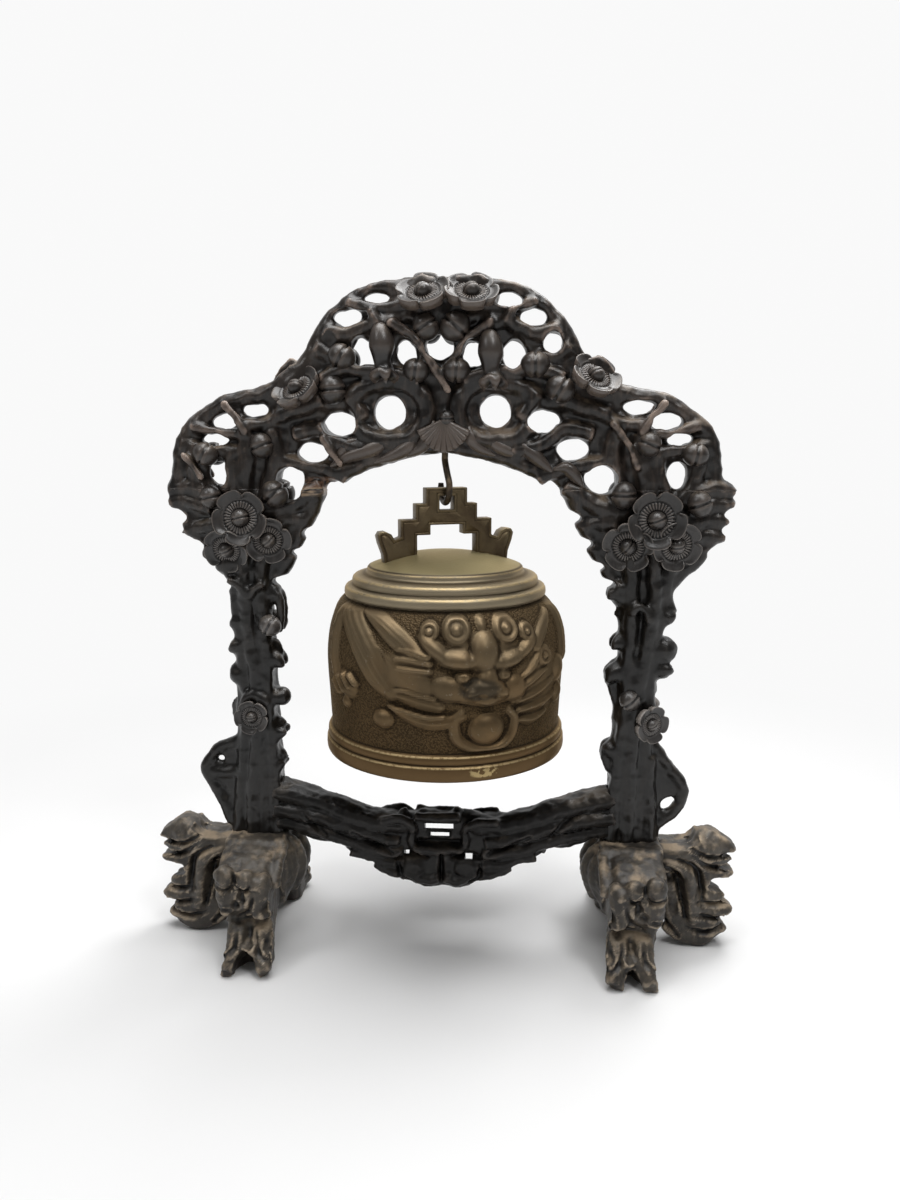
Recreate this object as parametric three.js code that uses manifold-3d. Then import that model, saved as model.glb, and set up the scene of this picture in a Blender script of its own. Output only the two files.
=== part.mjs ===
// A bronze temple bell hung by a wire hook in a carved hardwood stand.
// Millimetres, +Z up. The origin is on the floor, midway between the feet, and the stand faces -Y.
import * as THREE from "three";
import { mergeVertices } from "three/addons/utils/BufferGeometryUtils.js";
import Module from "manifold-3d";

const wasm = await Module();
wasm.setup();

// Driving dimensions of the joints
const GAP = 0.3; // clearance where two pieces seat on each other
const SEAT_Z = 296; // joint between the crest and the two post heads
const FOOT_TOP = 72; // shelf that a post stands on
const POST_X = 121; // centre line of a post
const TENON_DEPTH = 20; // post tenon in the foot
const TENON_WIDTH = 14;
const RAIL_TENON_LENGTH = 9; // stretcher tenon in the post
const RAIL_TENON_WIDTH = 10;
const RAIL_TENON_HEIGHT = 16;
const RAIL_TENON_Z = 86; // centre height of the stretcher tenon
const ROOT_TENON_LENGTH = 8; // outer root tenon in the foot
const ROOT_TENON_WIDTH = 12;
const ROOT_TENON_HEIGHT = 14;
const ROOT_TENON_Z = 56;
const DOWEL_RADIUS = 3;
const DOWEL_REACH = 12; // depth of a dowel in each of its two pieces

// Driving dimensions of the carved boards
const BOARD_HALF = 9; // half the thickness of the crest and post boards
const BOARD_BEVEL = 3;
const CREST_TOP = 420;
const CREST_HALF_WIDTH = 172;
const DOWEL_INNER_X = POST_X - 4;
const DOWEL_OUTER_X = CREST_HALF_WIDTH - 16;
const ARCH_TOP = 319; // underside of the crest at the hook
const ARCH_HALF_WIDTH = 72; // half the clear span at the seat
const HOLE_FLARE = 2.6; // how much wider a pierced hole is at the face of the board
const RAIL_HALF = 9;

// Driving dimensions of the feet
const FOOT_HALF_WIDTH = 19;
const FOOT_HALF_DEPTH = 22;
const FOOT_ARCH_Z = 24; // underside of the foot between its front and back roots
const TOE_Y = 50; // centre of a toe, in front of and behind the post
const TOE_X = 9; // sideways from the centre of the foot
const KNUCKLE_Z = 57;
const LEG_HALF_WIDTH = 16;
const ROOT_HALF = 9; // half the thickness of an outer root

// Driving dimensions of the bell
const MOUTH_RADIUS = 75;
const MOUTH_Z = 135; // height of the mouth over the floor
const WALL = 4.5;
const BAND_HEIGHT = 9.5; // lower of the two bands at the mouth
const BAND_TOP = 16;
const WAIST_RADIUS = 72;
const BULGE_RADIUS = 73.5;
const SHOULDER_Z = 96.5; // underside of the shoulder ring over the mouth
const SHOULDER_RADIUS = 62;
const CROWN_EDGE_Z = 113.5;
const CROWN_EDGE_RADIUS = 47;
const CROWN_TOP = 123;
const BELL_SIDES = 24;
const BELL_TURN = THREE.MathUtils.degToRad(21); // the bell and hook stand turned on the hook's shank

// Driving dimensions of the handle and the hook
const HANDLE_THICK = 9;
const HANDLE_TOP = 162; // over the mouth
const HANDLE_STEP = 9.5;
const HANDLE_FOOT_Z = 117;
const HANDLE_HALF_WIDTH = 40;
const EYE_HALF = 4.7; // half the width of the square eye
const EYE_TOP = 157;
const EYE_HEIGHT = 8.5;
const STUD_RADIUS = 4; // peened studs of the handle through the crown
const STUD_HEAD_RADIUS = 6;
const STUD_HEAD = 2;
const STUD_X = 27;
const WIRE_RADIUS = 2;
const HOOK_X = 1.5;
const HOOK_BEND = 8.5; // radius of the bend that carries the handle
const HOOK_DEPTH = 26; // shank inside the crest
const HOOK_SIDES = 8;

// The handle's eye rests on the bend at the two lower edges of its top bar.
const EYE_TOP_Z = MOUTH_Z + EYE_TOP;
const EDGE_REACH = HOOK_BEND - WIRE_RADIUS - GAP;
const BEND_Z = EYE_TOP_Z + Math.sqrt(EDGE_REACH ** 2 - (HANDLE_THICK / 2) ** 2);

// Finishes
const wood = () => new THREE.MeshStandardMaterial({ color: 0x2e2723, roughness: 0.55, metalness: 0 });
const rootWood = () => new THREE.MeshStandardMaterial({ color: 0x4a4038, roughness: 0.75, metalness: 0 });
const dowelWood = () => new THREE.MeshStandardMaterial({ color: 0x8a6a48, roughness: 0.8, metalness: 0 });
const bronze = () => new THREE.MeshStandardMaterial({ color: 0x5c4a2c, roughness: 0.45, metalness: 0.85 });
const wireIron = () => new THREE.MeshStandardMaterial({ color: 0x4a3d2e, roughness: 0.5, metalness: 0.8 });

// Solids
function solidOf(geometry) {
  const bare = geometry.index ? geometry.toNonIndexed() : geometry.clone();
  bare.deleteAttribute("normal");
  bare.deleteAttribute("uv");
  const merged = mergeVertices(bare, 1e-3);
  return new wasm.Manifold(
    new wasm.Mesh({
      numProp: 3,
      vertProperties: merged.attributes.position.array,
      triVerts: new Uint32Array(merged.index.array),
    }),
  );
}

function geometryOf(solid) {
  const mesh = solid.getMesh();
  const geometry = new THREE.BufferGeometry();
  geometry.setAttribute("position", new THREE.BufferAttribute(new Float32Array(mesh.vertProperties), 3));
  geometry.setIndex(new THREE.BufferAttribute(new Uint32Array(mesh.triVerts), 1));
  geometry.computeVertexNormals();
  return geometry;
}

const withPieces = (solid, geometries) =>
  geometries.map(solidOf).reduce((whole, piece) => whole.add(piece), solid);
const joined = ([first, ...others]) => withPieces(solidOf(first), others);
const cut = (solid, geometries) =>
  geometries.map(solidOf).reduce((whole, tool) => whole.subtract(tool), solid);

function meshOf(name, geometry, material) {
  const mesh = new THREE.Mesh(geometry, material);
  mesh.name = name;
  return mesh;
}

// Plain forms
function box(sizeX, sizeY, sizeZ, x, y, z) {
  return new THREE.BoxGeometry(sizeX, sizeY, sizeZ).translate(x, y, z);
}

function ball(radius, x, y, z, stretch = [1, 1, 1], sides = 6) {
  const rings = Math.ceil(sides * 0.5);
  return new THREE.SphereGeometry(radius, sides, rings).scale(...stretch).translate(x, y, z);
}

function rod(radius, low, high, x, y, sides = 12) {
  const length = high - low;
  return new THREE.CylinderGeometry(radius, radius, length, sides)
    .rotateX(Math.PI / 2)
    .translate(x, y, low + length / 2);
}

// A limb of round section along a smooth curve.
function limb(points, radius, steps, sides = 7) {
  const section = new THREE.Shape();
  for (let i = 0; i < sides; i++) {
    const angle = (i / sides) * Math.PI * 2;
    const [u, v] = [radius * Math.cos(angle), radius * Math.sin(angle)];
    i ? section.lineTo(u, v) : section.moveTo(u, v);
  }
  const path = new THREE.CatmullRomCurve3(points.map((p) => new THREE.Vector3(...p)));
  return new THREE.ExtrudeGeometry(section, { extrudePath: path, steps });
}

// A thorn or leaf tip: a cone with its base at one point and its tip at another.
function thorn(from, to, radius, sides = 5) {
  const start = new THREE.Vector3(...from);
  const along = new THREE.Vector3(...to).sub(start);
  const upright = new THREE.Vector3(0, 1, 0);
  const turn = new THREE.Quaternion().setFromUnitVectors(upright, along.clone().normalize());
  return new THREE.ConeGeometry(radius, along.length(), sides)
    .translate(0, along.length() / 2, 0)
    .applyQuaternion(turn)
    .translate(...from);
}

// A board in the X-Z plane, centred on Y = 0, with bevelled edges that stay inside the outline.
function board(outline, half, bevel) {
  const shape = new THREE.Shape(outline.map(([x, z]) => new THREE.Vector2(x, z)));
  return new THREE.ExtrudeGeometry(shape, {
    depth: 2 * (half - bevel),
    bevelSize: bevel,
    bevelOffset: -bevel,
    bevelThickness: bevel,
    bevelSegments: 1,
  })
    .translate(0, 0, -(half - bevel))
    .rotateX(Math.PI / 2);
}

// A smooth stretch of outline through a few points.
function smooth(points, count) {
  const curve = new THREE.SplineCurve(points.map(([x, z]) => new THREE.Vector2(x, z)));
  return curve.getPoints(count).map((p) => [p.x, p.y]);
}

const mirrorX = (points) => points.map(([x, z]) => [-x, z]);
const turnedRound = (geometries) => geometries.map((g) => g.clone().rotateZ(Math.PI));

// A pierced hole: an oval bore through the board, flared at both faces.
function piercing([x, z, halfWidth, halfHeight, tilt = 0]) {
  const flare = 1 + HOLE_FLARE / Math.min(halfWidth, halfHeight);
  const reach = BOARD_HALF + 1;
  const profile = [
    [0, -reach],
    [flare, -reach],
    [1, 0],
    [flare, reach],
    [0, reach],
  ].map(([r, y]) => new THREE.Vector2(r, y));
  return new THREE.LatheGeometry(profile, 6)
    .scale(halfWidth, 1, halfHeight)
    .rotateY(-THREE.MathUtils.degToRad(tilt))
    .translate(x, 0, z);
}

// Carved ornament on the front face
// A plum blossom: five petals, a disc of stamens and a round boss.
function blossom(x, z, radius, spin = 0) {
  const lobes = 5;
  const pointsPerLobe = 3;
  const notch = 0.3; // how far the petals part at the rim
  const thick = 3.2;
  const outline = [];
  for (let i = 0; i < lobes * pointsPerLobe; i++) {
    const angle = (i / (lobes * pointsPerLobe)) * Math.PI * 2 + spin;
    const lobe = Math.abs(Math.cos((lobes / 2) * (angle - spin)));
    const reach = radius * (1 - notch + notch * lobe);
    outline.push(new THREE.Vector2(reach * Math.cos(angle), reach * Math.sin(angle)));
  }
  const petals = new THREE.ExtrudeGeometry(new THREE.Shape(outline), {
    depth: thick + 2,
    bevelEnabled: false,
  });
  const stamens = new THREE.CylinderGeometry(radius * 0.42, radius * 0.5, 2 * thick, 6).rotateX(Math.PI / 2);
  const boss = new THREE.SphereGeometry(radius * 0.25, 6, 3);
  const out = (geometry, depth) =>
    geometry
      .translate(0, 0, depth)
      .rotateX(Math.PI / 2)
      .translate(x, -BOARD_HALF, z);
  return [out(petals, -2), out(stamens, thick - 1), out(boss, 2 * thick - 1.5)];
}

const bud = (x, z, radius) => ball(radius, x, -BOARD_HALF, z, [1, 0.9, 1.1]);

// Crest
// Half outline of the crest: over the top from the middle to the outer tip, and back under the arch.
const CREST_OVER = [
  [0, CREST_TOP],
  [32, 417],
  [50, 411],
  [64, 401],
  [76, 386],
  [84, 373],
  [101, 360],
  [CREST_HALF_WIDTH - 42, 351],
  [CREST_HALF_WIDTH - 25, 340],
  [CREST_HALF_WIDTH - 12, 326],
  [CREST_HALF_WIDTH - 6, 310],
  [CREST_HALF_WIDTH, SEAT_Z + GAP],
];
const CREST_UNDER = [
  [ARCH_HALF_WIDTH, SEAT_Z + GAP],
  [64, 307],
  [50, 313],
  [29, 316],
  [0, ARCH_TOP],
];
// Pierced holes on the +X side: x, z, half width, half height, tilt in degrees. The other side mirrors them.
const CREST_HOLES = [
  [39, 407, 7, 3, -20],
  [55, 397, 7.5, 4, -30],
  [66, 383, 4.4, 5, 20],
  [44, 376, 5.6, 8.5, 0],
  [20, 376, 5, 7.5, 0],
  [32, 342.5, 8.5, 9, 0],
  [62, 336, 9, 6, 15],
  [79, 319, 8.5, 5, 20],
  [94, 303, 9, 8, 0],
  [115, 344, 7.5, 3.4, -10],
  [134, 336, 7, 4.4, -10],
  [141, 325.5, 7, 3.8, 5],
  [140, 306, 4.8, 6.5, 0],
];
const CREST_BLOSSOMS = [
  [-12, 408, 15, 0.3],
  [17, 409, 15, -0.2],
  [-89, 356, 16, 0.5],
  [90, 361, 16, 0.1],
];
const CREST_BUDS = [
  [-9, 391, 7],
  [8, 391, 8],
  [-59, 374, 7],
  [55, 369, 7],
  [-65, 356, 7],
  [70, 355, 7.5],
  [-15, 367, 6.5],
  [9, 367, 6.5],
  [-110, 322, 6],
  [-144, 316, 6],
  [123, 323, 6.5],
  [3, 338, 4.5],
];
// Boughs over the face on the +X side, mirrored on the other.
const CREST_BOUGHS = [
  [
    [12, 326],
    [20, 340],
    [30, 354],
    [46, 352],
    [62, 347],
    [84, 345],
    [106, 335],
  ],
  [
    [8, 380],
    [24, 388],
    [40, 389],
    [56, 378],
    [72, 366],
  ],
];

function crestGeometry() {
  const boughRadius = 4.2;
  const rightHalf = [...smooth(CREST_OVER, 17), ...smooth(CREST_UNDER, 6)];
  const leftHalf = mirrorX(rightHalf).reverse().slice(1, -1);
  const plate = board([...rightHalf, ...leftHalf], BOARD_HALF, BOARD_BEVEL);
  const holes = CREST_HOLES.flatMap((hole) => {
    const [x, z, halfWidth, halfHeight, tilt] = hole;
    return [piercing(hole), piercing([-x, z, halfWidth, halfHeight, -tilt])];
  });
  holes.push(piercing([-1, 379, 6, 7]));
  const boughs = CREST_BOUGHS.flatMap((points) =>
    [1, -1].map((side) => limb(points.map(([x, z]) => [side * x, -BOARD_HALF, z]), boughRadius, 5, 4)),
  );
  const fan = ball(13, HOOK_X, -BOARD_HALF, ARCH_TOP + 9, [1, 0.35, 0.75], 8);
  const blossoms = CREST_BLOSSOMS.flatMap((flower) => blossom(...flower));
  const front = [...blossoms, ...CREST_BUDS.map((place) => bud(...place)), ...boughs, fan];
  const pierced = cut(solidOf(plate), holes);
  const carved = withPieces(pierced, [...front, ...turnedRound(front)]);
  const hookBore = rod(WIRE_RADIUS + GAP, ARCH_TOP - 20, ARCH_TOP + HOOK_DEPTH + GAP, HOOK_X, 0, HOOK_SIDES);
  const below = box(3 * CREST_HALF_WIDTH, 8 * BOARD_HALF, 40, 0, 0, SEAT_Z + GAP - 20);
  return geometryOf(cut(carved, [hookBore, below, ...dowelBores()]));
}

// Crest dowels
const DOWEL_PLACES = [
  ["crest_dowel_left_outer", -DOWEL_OUTER_X],
  ["crest_dowel_left_inner", -DOWEL_INNER_X],
  ["crest_dowel_right_inner", DOWEL_INNER_X],
  ["crest_dowel_right_outer", DOWEL_OUTER_X],
];
const dowelRod = (x, slack) =>
  rod(DOWEL_RADIUS + slack, SEAT_Z - DOWEL_REACH - slack, SEAT_Z + DOWEL_REACH + slack, x, 0, 8);
const dowelBores = () => DOWEL_PLACES.map(([, x]) => dowelRod(x, GAP));

// Stretcher tenons
const RAIL_END = POST_X - 15; // where the rail's shoulder meets the inner edge of a post
const railTenon = (side, slack) =>
  box(
    RAIL_TENON_LENGTH + 2 + slack,
    RAIL_TENON_WIDTH + 2 * slack,
    RAIL_TENON_HEIGHT + 2 * slack,
    side * (RAIL_END + (RAIL_TENON_LENGTH + slack) / 2 - 1),
    0,
    RAIL_TENON_Z,
  );

// Posts
// How far out the head of a post is at a share of the way from its trunk to its outer tip.
const headX = (share) => POST_X + 13 + share * (CREST_HALF_WIDTH - POST_X - 13);

// Outline of the right post, from its inner top corner down the inner edge and up the outer one.
const POST_INNER = [
  [ARCH_HALF_WIDTH + 1, SEAT_Z],
  [ARCH_HALF_WIDTH + 10, 277],
  [ARCH_HALF_WIDTH + 20, 255],
  [POST_X - 17, 240],
  [POST_X - 13, 226],
  [POST_X - 11, 200],
  [POST_X - 13, 165],
  [POST_X - 14, 130],
  [RAIL_END, 112],
];
const POST_OUTER = [
  [POST_X + 19, FOOT_TOP + GAP],
  [POST_X + 15, 95],
  [POST_X + 13, 130],
  [POST_X + 12, 165],
  [POST_X + 11, 200],
  [POST_X + 13, 228],
  [headX(0.16), 245],
  [headX(0.42), 256],
  [headX(0.74), 272],
  [CREST_HALF_WIDTH, SEAT_Z],
];
// What each post carries, sideways from its centre line: blossoms and buds on its face, thorns along its
// trunk, ridges down its face, and the side bough at its foot with the holes that pierce it.
const RIGHT_POST = {
  side: 1,
  blossoms: [
    [6, 279, 20, 0.3],
    [-9, 266, 16, 0.9],
    [19, 267, 16, 0.2],
    [8, 152, 13, 0.6],
  ],
  buds: [
    [-10, 290, 7],
    [33, 285, 7],
    [-4, 167, 6.5],
  ],
  sideBuds: [
    [14, 199, 8],
    [13, 187, 6.5],
  ],
  thorns: [
    [-13, 236, -20, 233],
    [-11, 180, -19, 176],
    [-13, 132, -20, 128],
    [13, 225, 22, 222],
  ],
  ridges: [-5, 5],
  bough: [
    [4, 142],
    [16, 131],
    [25, 118],
    [32, 109],
    [36, 103],
    [33, 96],
    [27, 88],
    [19, 82],
    [13, 76],
    [4, 76],
  ],
  boughHoles: [[23, 96, 5.5, 2.6, 40]],
};
const LEFT_POST = {
  side: -1,
  blossoms: [
    [0, 279, 20, 0.2],
    [-15, 267, 16, 0.7],
    [10, 261, 15, 0.4],
    [0, 152, 13, 0.1],
  ],
  buds: [
    [22, 290, 7],
    [-18, 291, 7.5],
    [-13, 210, 7],
  ],
  sideBuds: [[8, 178, 7.5]],
  thorns: [
    [11, 210, 19, 206],
    [11, 194, 18, 190],
    [-13, 188, -20, 186],
    [-11, 163, -19, 160],
    [-13, 138, -20, 143],
    [-14, 120, -20, 119],
  ],
  ridges: [-7, 6],
  bough: [
    [4, 144],
    [14, 134],
    [22, 130],
    [29, 126],
    [35, 118],
    [37, 112],
    [31, 100],
    [26, 90],
    [22, 76],
    [4, 76],
  ],
  boughHoles: [
    [25, 120, 3, 2.4, 0],
    [24, 99, 4, 1.6, 50],
  ],
};
// Thorns on the outer edge of each head, sideways from the crest's outer tip.
const HEAD_THORNS = [
  [-12, 284, 0, 284],
  [-16, 270, -3, 267],
];

const postBlossoms = ({ side, blossoms }) =>
  blossoms.flatMap(([x, z, radius, spin]) => blossom(side * (POST_X + x), z, radius, spin));

function postRelief(post) {
  const { side, buds, ridges } = post;
  const ridgeRadius = 4;
  const ridgeLine = (x) => [
    [side * x, -BOARD_HALF, 240],
    [side * (x - 3), -BOARD_HALF, 190],
    [side * (x + 2), -BOARD_HALF, 130],
    [side * x, -BOARD_HALF, 80],
  ];
  return [
    ...postBlossoms(post),
    ...buds.map(([x, z, radius]) => bud(side * (POST_X + x), z, radius)),
    ...ridges.map((x) => limb(ridgeLine(POST_X + x), ridgeRadius, 4, 4)),
  ];
}

function postGeometry(post, other) {
  const { side, sideBuds, thorns, bough, boughHoles } = post;
  const thornRadius = 5;
  const boughHalf = 5;
  const sided = (outline) => (side > 0 ? outline : mirrorX(outline).reverse());
  const outline = [...smooth(POST_INNER, 11), [RAIL_END, FOOT_TOP + GAP], ...smooth(POST_OUTER, 12)];
  const plate = board(sided(outline), BOARD_HALF, BOARD_BEVEL);
  const sideBough = board(sided(bough.map(([x, z]) => [POST_X + x, z])), boughHalf, 2);
  const thornAt = (from) => ([x, z, tipX, tipZ]) =>
    thorn([side * (from + x), 0, z], [side * (from + tipX), 0, tipZ], thornRadius);
  const edges = [
    ...sideBuds.map(([x, z, radius]) => ball(radius, side * (POST_X + x), 0, z)),
    ...thorns.map(thornAt(POST_X)),
    ...HEAD_THORNS.map(thornAt(CREST_HALF_WIDTH)),
  ];
  const behind = { side: -side, blossoms: [other.blossoms.at(0), other.blossoms.at(-1)] };
  const faces = [...postRelief(post), ...turnedRound(postBlossoms(behind))];
  const tenonZ = FOOT_TOP + GAP - TENON_DEPTH / 2 + 1;
  const tenon = box(TENON_WIDTH, TENON_WIDTH, TENON_DEPTH + 2, side * POST_X, 0, tenonZ);
  const voids = CREST_HOLES.filter(([, z, , halfHeight]) => z - halfHeight < SEAT_Z);
  const pierced = cut(withPieces(solidOf(plate), [sideBough]), [
    ...voids.map(([x, z, halfWidth, halfHeight]) => piercing([side * x, z, halfWidth, halfHeight])),
    ...boughHoles.map(([x, z, halfWidth, halfHeight, tilt]) =>
      piercing([side * (POST_X + x), z, halfWidth, halfHeight, side * tilt]),
    ),
  ]);
  const carved = withPieces(pierced, [...edges, ...faces, tenon]);
  const above = box(4 * CREST_HALF_WIDTH, 8 * BOARD_HALF, 40, 0, 0, SEAT_Z + 20);
  return geometryOf(cut(carved, [above, railTenon(side, GAP), ...dowelBores()]));
}

// Stretcher
const RAIL_OVER = [
  [RAIL_END, 107],
  [88, 100],
  [67, 94],
  [49, 87],
  [29, 84],
  [14, 87],
  [0, 85],
];
const RAIL_UNDER = [
  [0, 37],
  [11, 34],
  [22, 39],
  [36, 43],
  [44, 52],
  [58, 56],
  [66, 63],
  [84, 66],
  [100, 72.5],
  [RAIL_END, 73],
];

function stretcherGeometry() {
  const over = smooth(RAIL_OVER, 12);
  const rightHalf = [...RAIL_UNDER, ...over];
  const leftHalf = mirrorX(rightHalf).reverse().slice(1, -1);
  const plate = board([...rightHalf, ...leftHalf], RAIL_HALF, BOARD_BEVEL);
  const rootRadius = 6;
  const roots = [1, -1].flatMap((side) => [
    limb(
      [
        [side * 98, -RAIL_HALF + 2, 97],
        [side * 70, -RAIL_HALF, 87],
        [side * 44, -RAIL_HALF, 79],
        [side * 22, -RAIL_HALF + 2, 79],
      ],
      rootRadius,
      4,
      6,
    ),
  ]);
  const whole = joined([plate, ...roots, ...turnedRound(roots)]);
  const ended = cut(whole, [
    box(40, 90, 90, RAIL_END - GAP + 20, 0, 90),
    box(40, 90, 90, -RAIL_END + GAP - 20, 0, 90),
    box(20, 60, 2.6, -2, 0, 76.5),
    box(12, 60, 2.6, -2, 0, 70),
    box(5, 60, 4, 17, 0, 55),
  ]);
  return geometryOf(ended.add(solidOf(railTenon(1, 0))).add(solidOf(railTenon(-1, 0))));
}

// Feet
// Side of one root of a foot: forward from the post, and up. It ends under the floor, where it is cut flat.
const LEG_SIDE = [
  [6, 30],
  [24, 27],
  [31, 14],
  [36, -6],
  [TOE_Y + 10, -6],
  [TOE_Y + 11, 6],
  [TOE_Y + 4, 16],
  [TOE_Y - 3, 25],
  [TOE_Y - 4, 34],
  [TOE_Y + 2, 41],
  [TOE_Y + 5, KNUCKLE_Z - 8],
  [TOE_Y + 3, KNUCKLE_Z],
  [TOE_Y - 5, KNUCKLE_Z + 5],
  [34, FOOT_TOP - 5],
  [20, FOOT_TOP - 1],
  [6, FOOT_TOP - 1],
];

// One root of a foot, running forward or back from the block, with a row of knuckles.
function footRoot(x, way) {
  const leg = board(LEG_SIDE, LEG_HALF_WIDTH, 4)
    .rotateZ((way * Math.PI) / 2)
    .translate(x, 0, 0);
  const knuckles = [-1, 0, 1].map((across) =>
    ball(7, x + across * 11, way * (TOE_Y + 1), KNUCKLE_Z, [0.9, 1, 1]),
  );
  return [leg, ...knuckles];
}

// The split between the two toes of a root.
const toeSplit = (x, way) => ball(10, x, way * (TOE_Y + 10), 0, [0.4, 1.4, 1.2]);

const rootTenon = (side, slack) =>
  box(
    ROOT_TENON_LENGTH + 4 + slack,
    ROOT_TENON_WIDTH + 2 * slack,
    ROOT_TENON_HEIGHT + 2 * slack,
    side * (POST_X + FOOT_HALF_WIDTH + 2 - (ROOT_TENON_LENGTH + slack) / 2),
    0,
    ROOT_TENON_Z,
  );
const underFloor = () => box(600, 300, 60, 0, 0, -30);

function footGeometry(side) {
  const x = side * POST_X;
  const corner = 5;
  const [low, high] = [FOOT_ARCH_Z, FOOT_TOP];
  const block = board(
    [
      [x - FOOT_HALF_WIDTH, low + corner],
      [x - FOOT_HALF_WIDTH + corner, low],
      [x + FOOT_HALF_WIDTH - corner, low],
      [x + FOOT_HALF_WIDTH, low + corner],
      [x + FOOT_HALF_WIDTH, high],
      [x - FOOT_HALF_WIDTH, high],
    ],
    FOOT_HALF_DEPTH,
    2,
  );
  const innerLobe = ball(11, side * (POST_X - FOOT_HALF_WIDTH), 0, 47, [1, 1.2, 1.7], 8);
  const whole = joined([block, innerLobe, ...footRoot(x, -1), ...footRoot(x, 1)]);
  const slot = TENON_WIDTH + 2 * GAP;
  const mortise = box(slot, slot, TENON_DEPTH + 2 * GAP, x, 0, FOOT_TOP - TENON_DEPTH / 2);
  const splits = [toeSplit(x, -1), toeSplit(x, 1)];
  return geometryOf(cut(whole, [underFloor(), ...splits, mortise, rootTenon(side, GAP)]));
}

// Outer roots
// Front of the right outer root, from its top at the foot round its leaf tips to the bottom.
const OUTER_ROOT = [
  [0, 70],
  [10, 68],
  [20, 70],
  [23, 77],
  [32, 80],
  [40, 75],
  [47, 70],
  [49, 65],
  [42, 60],
  [48, 53],
  [46, 48],
  [35, 44],
  [41, 36],
  [41, 32],
  [49, 26],
  [46, 21],
  [38, 17],
  [46, 12],
  [40, 8],
  [28, 2],
  [12, 6],
  [6, 15],
  [0, 30],
];

function outerRootGeometry(side) {
  const inner = POST_X + FOOT_HALF_WIDTH + GAP;
  const at = (x, y, z) => [side * (inner + x), y, z];
  const outline = OUTER_ROOT.map(([x, z]) => [inner + x, z]);
  const slab = board(side > 0 ? outline : mirrorX(outline).reverse(), ROOT_HALF, 3);
  const whole = joined([
    slab,
    limb([at(-8, 0, 57), at(8, -1, 57), at(22, -2, 60), at(33, -3, 70)], 11, 4, 7),
    ball(10, ...at(32, -2, 71), [1, 1.2, 0.9]),
    ball(10, ...at(28, 4, 4), [0.9, 1.3, 0.7]),
    ball(8, ...at(37, 0, 26), [1.1, 1.5, 0.8]),
  ]);
  const cave = ball(9, ...at(13, -15, 44), [0.8, 1, 0.9]);
  const trimmed = cut(whole, [cave, underFloor(), box(60, 90, 150, side * (inner - 30), 0, 60)]);
  return geometryOf(trimmed.add(solidOf(rootTenon(side, 0))));
}

// Bell
const CROWN = [
  [CROWN_EDGE_RADIUS, CROWN_EDGE_Z],
  [44, 116],
  [32, 120],
  [16, 122.5],
  [0, CROWN_TOP],
];
const BELL_OUTER = [
  [MOUTH_RADIUS - 1, 0],
  [MOUTH_RADIUS, 1.5],
  [MOUTH_RADIUS, BAND_HEIGHT],
  [MOUTH_RADIUS - 1.6, BAND_HEIGHT + 0.8],
  [MOUTH_RADIUS - 1.6, BAND_TOP],
  [WAIST_RADIUS - 0.6, BAND_TOP + 1],
  [WAIST_RADIUS + 0.6, 36],
  [BULGE_RADIUS, 60],
  [71.5, 78],
  [67.5, 89],
  [60.5, SHOULDER_Z],
  [SHOULDER_RADIUS, SHOULDER_Z + 1.5],
  [SHOULDER_RADIUS, SHOULDER_Z + 6],
  [57, SHOULDER_Z + 8],
  [56.5, SHOULDER_Z + 12.5],
  [CROWN_EDGE_RADIUS + 1, CROWN_EDGE_Z - 2],
];
const BELL_INNER = [
  [0, CROWN_TOP - 6],
  [30, 114.5],
  [46, 108],
  [62, 89],
  [BULGE_RADIUS - WALL, 62],
  [WAIST_RADIUS - WALL, 18],
  [MOUTH_RADIUS - WALL, 0],
];
// Relief of the beast mask, measured flat: across from the middle of the mask and up from the mouth,
// half length, half width, how far it stands out, and tilt in degrees.
const MASK = [
  [1, 56, 11, 8, 6.5, 0], // nose
  [0, 76, 8, 11, 5, 0], // forehead
  [-22, 75, 19, 6, 4.5, -26], // brows
  [21, 74, 17, 6, 4.5, 26],
  [-19, 54, 9, 9, 4, 0], // cheeks
  [19, 51, 8, 9, 4, 0],
  [2, 30.5, 11, 9.5, 5, 0], // pearl in the mouth
  [-15.5, 88, 8, 6.5, 4, 0], // curls of the forelock
  [15, 87.5, 8, 6.5, 4, 0],
  [-55, 82.5, 24, 6, 3.5, -29], // ear and foreleg on the left
  [-71, 71, 26, 9, 3.5, -43],
  [-86, 50, 8, 9, 3.5, 0],
  [-59, 35, 7, 6, 4, 0],
  [-40, 48, 16, 5.5, 3, -14], // locks of the beard and mane
  [-36, 37.5, 18, 5.5, 3, -14],
  [35, 56, 15, 6, 3, 10],
  [38, 42, 15, 6, 3, 5],
  [46, 81, 15, 6, 3, 42],
];
const RELIEF_SINK = 2; // how deep the relief is rooted in the wall

const lathe = (profile, sides) =>
  new THREE.LatheGeometry(profile.map(([r, z]) => new THREE.Vector2(r, z)), sides).rotateX(Math.PI / 2);

// Radius of the bell's outside at a height over the mouth.
function bellRadius(z) {
  const upper = BELL_OUTER.findIndex((point) => point[1] >= z);
  const [lowRadius, lowZ] = BELL_OUTER[upper - 1];
  const [highRadius, highZ] = BELL_OUTER[upper];
  return lowRadius + ((highRadius - lowRadius) * (z - lowZ)) / (highZ - lowZ);
}

// Bends a form made flat, with x across, -y out and z up, round the outside of the bell.
function wrapped(geometry) {
  const place = geometry.attributes.position;
  for (let i = 0; i < place.count; i++) {
    const angle = place.getX(i) / BULGE_RADIUS;
    const radius = bellRadius(place.getZ(i)) + Math.max(-place.getY(i), -RELIEF_SINK);
    place.setXYZ(i, radius * Math.sin(angle), -radius * Math.cos(angle), place.getZ(i));
  }
  return geometry;
}

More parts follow.
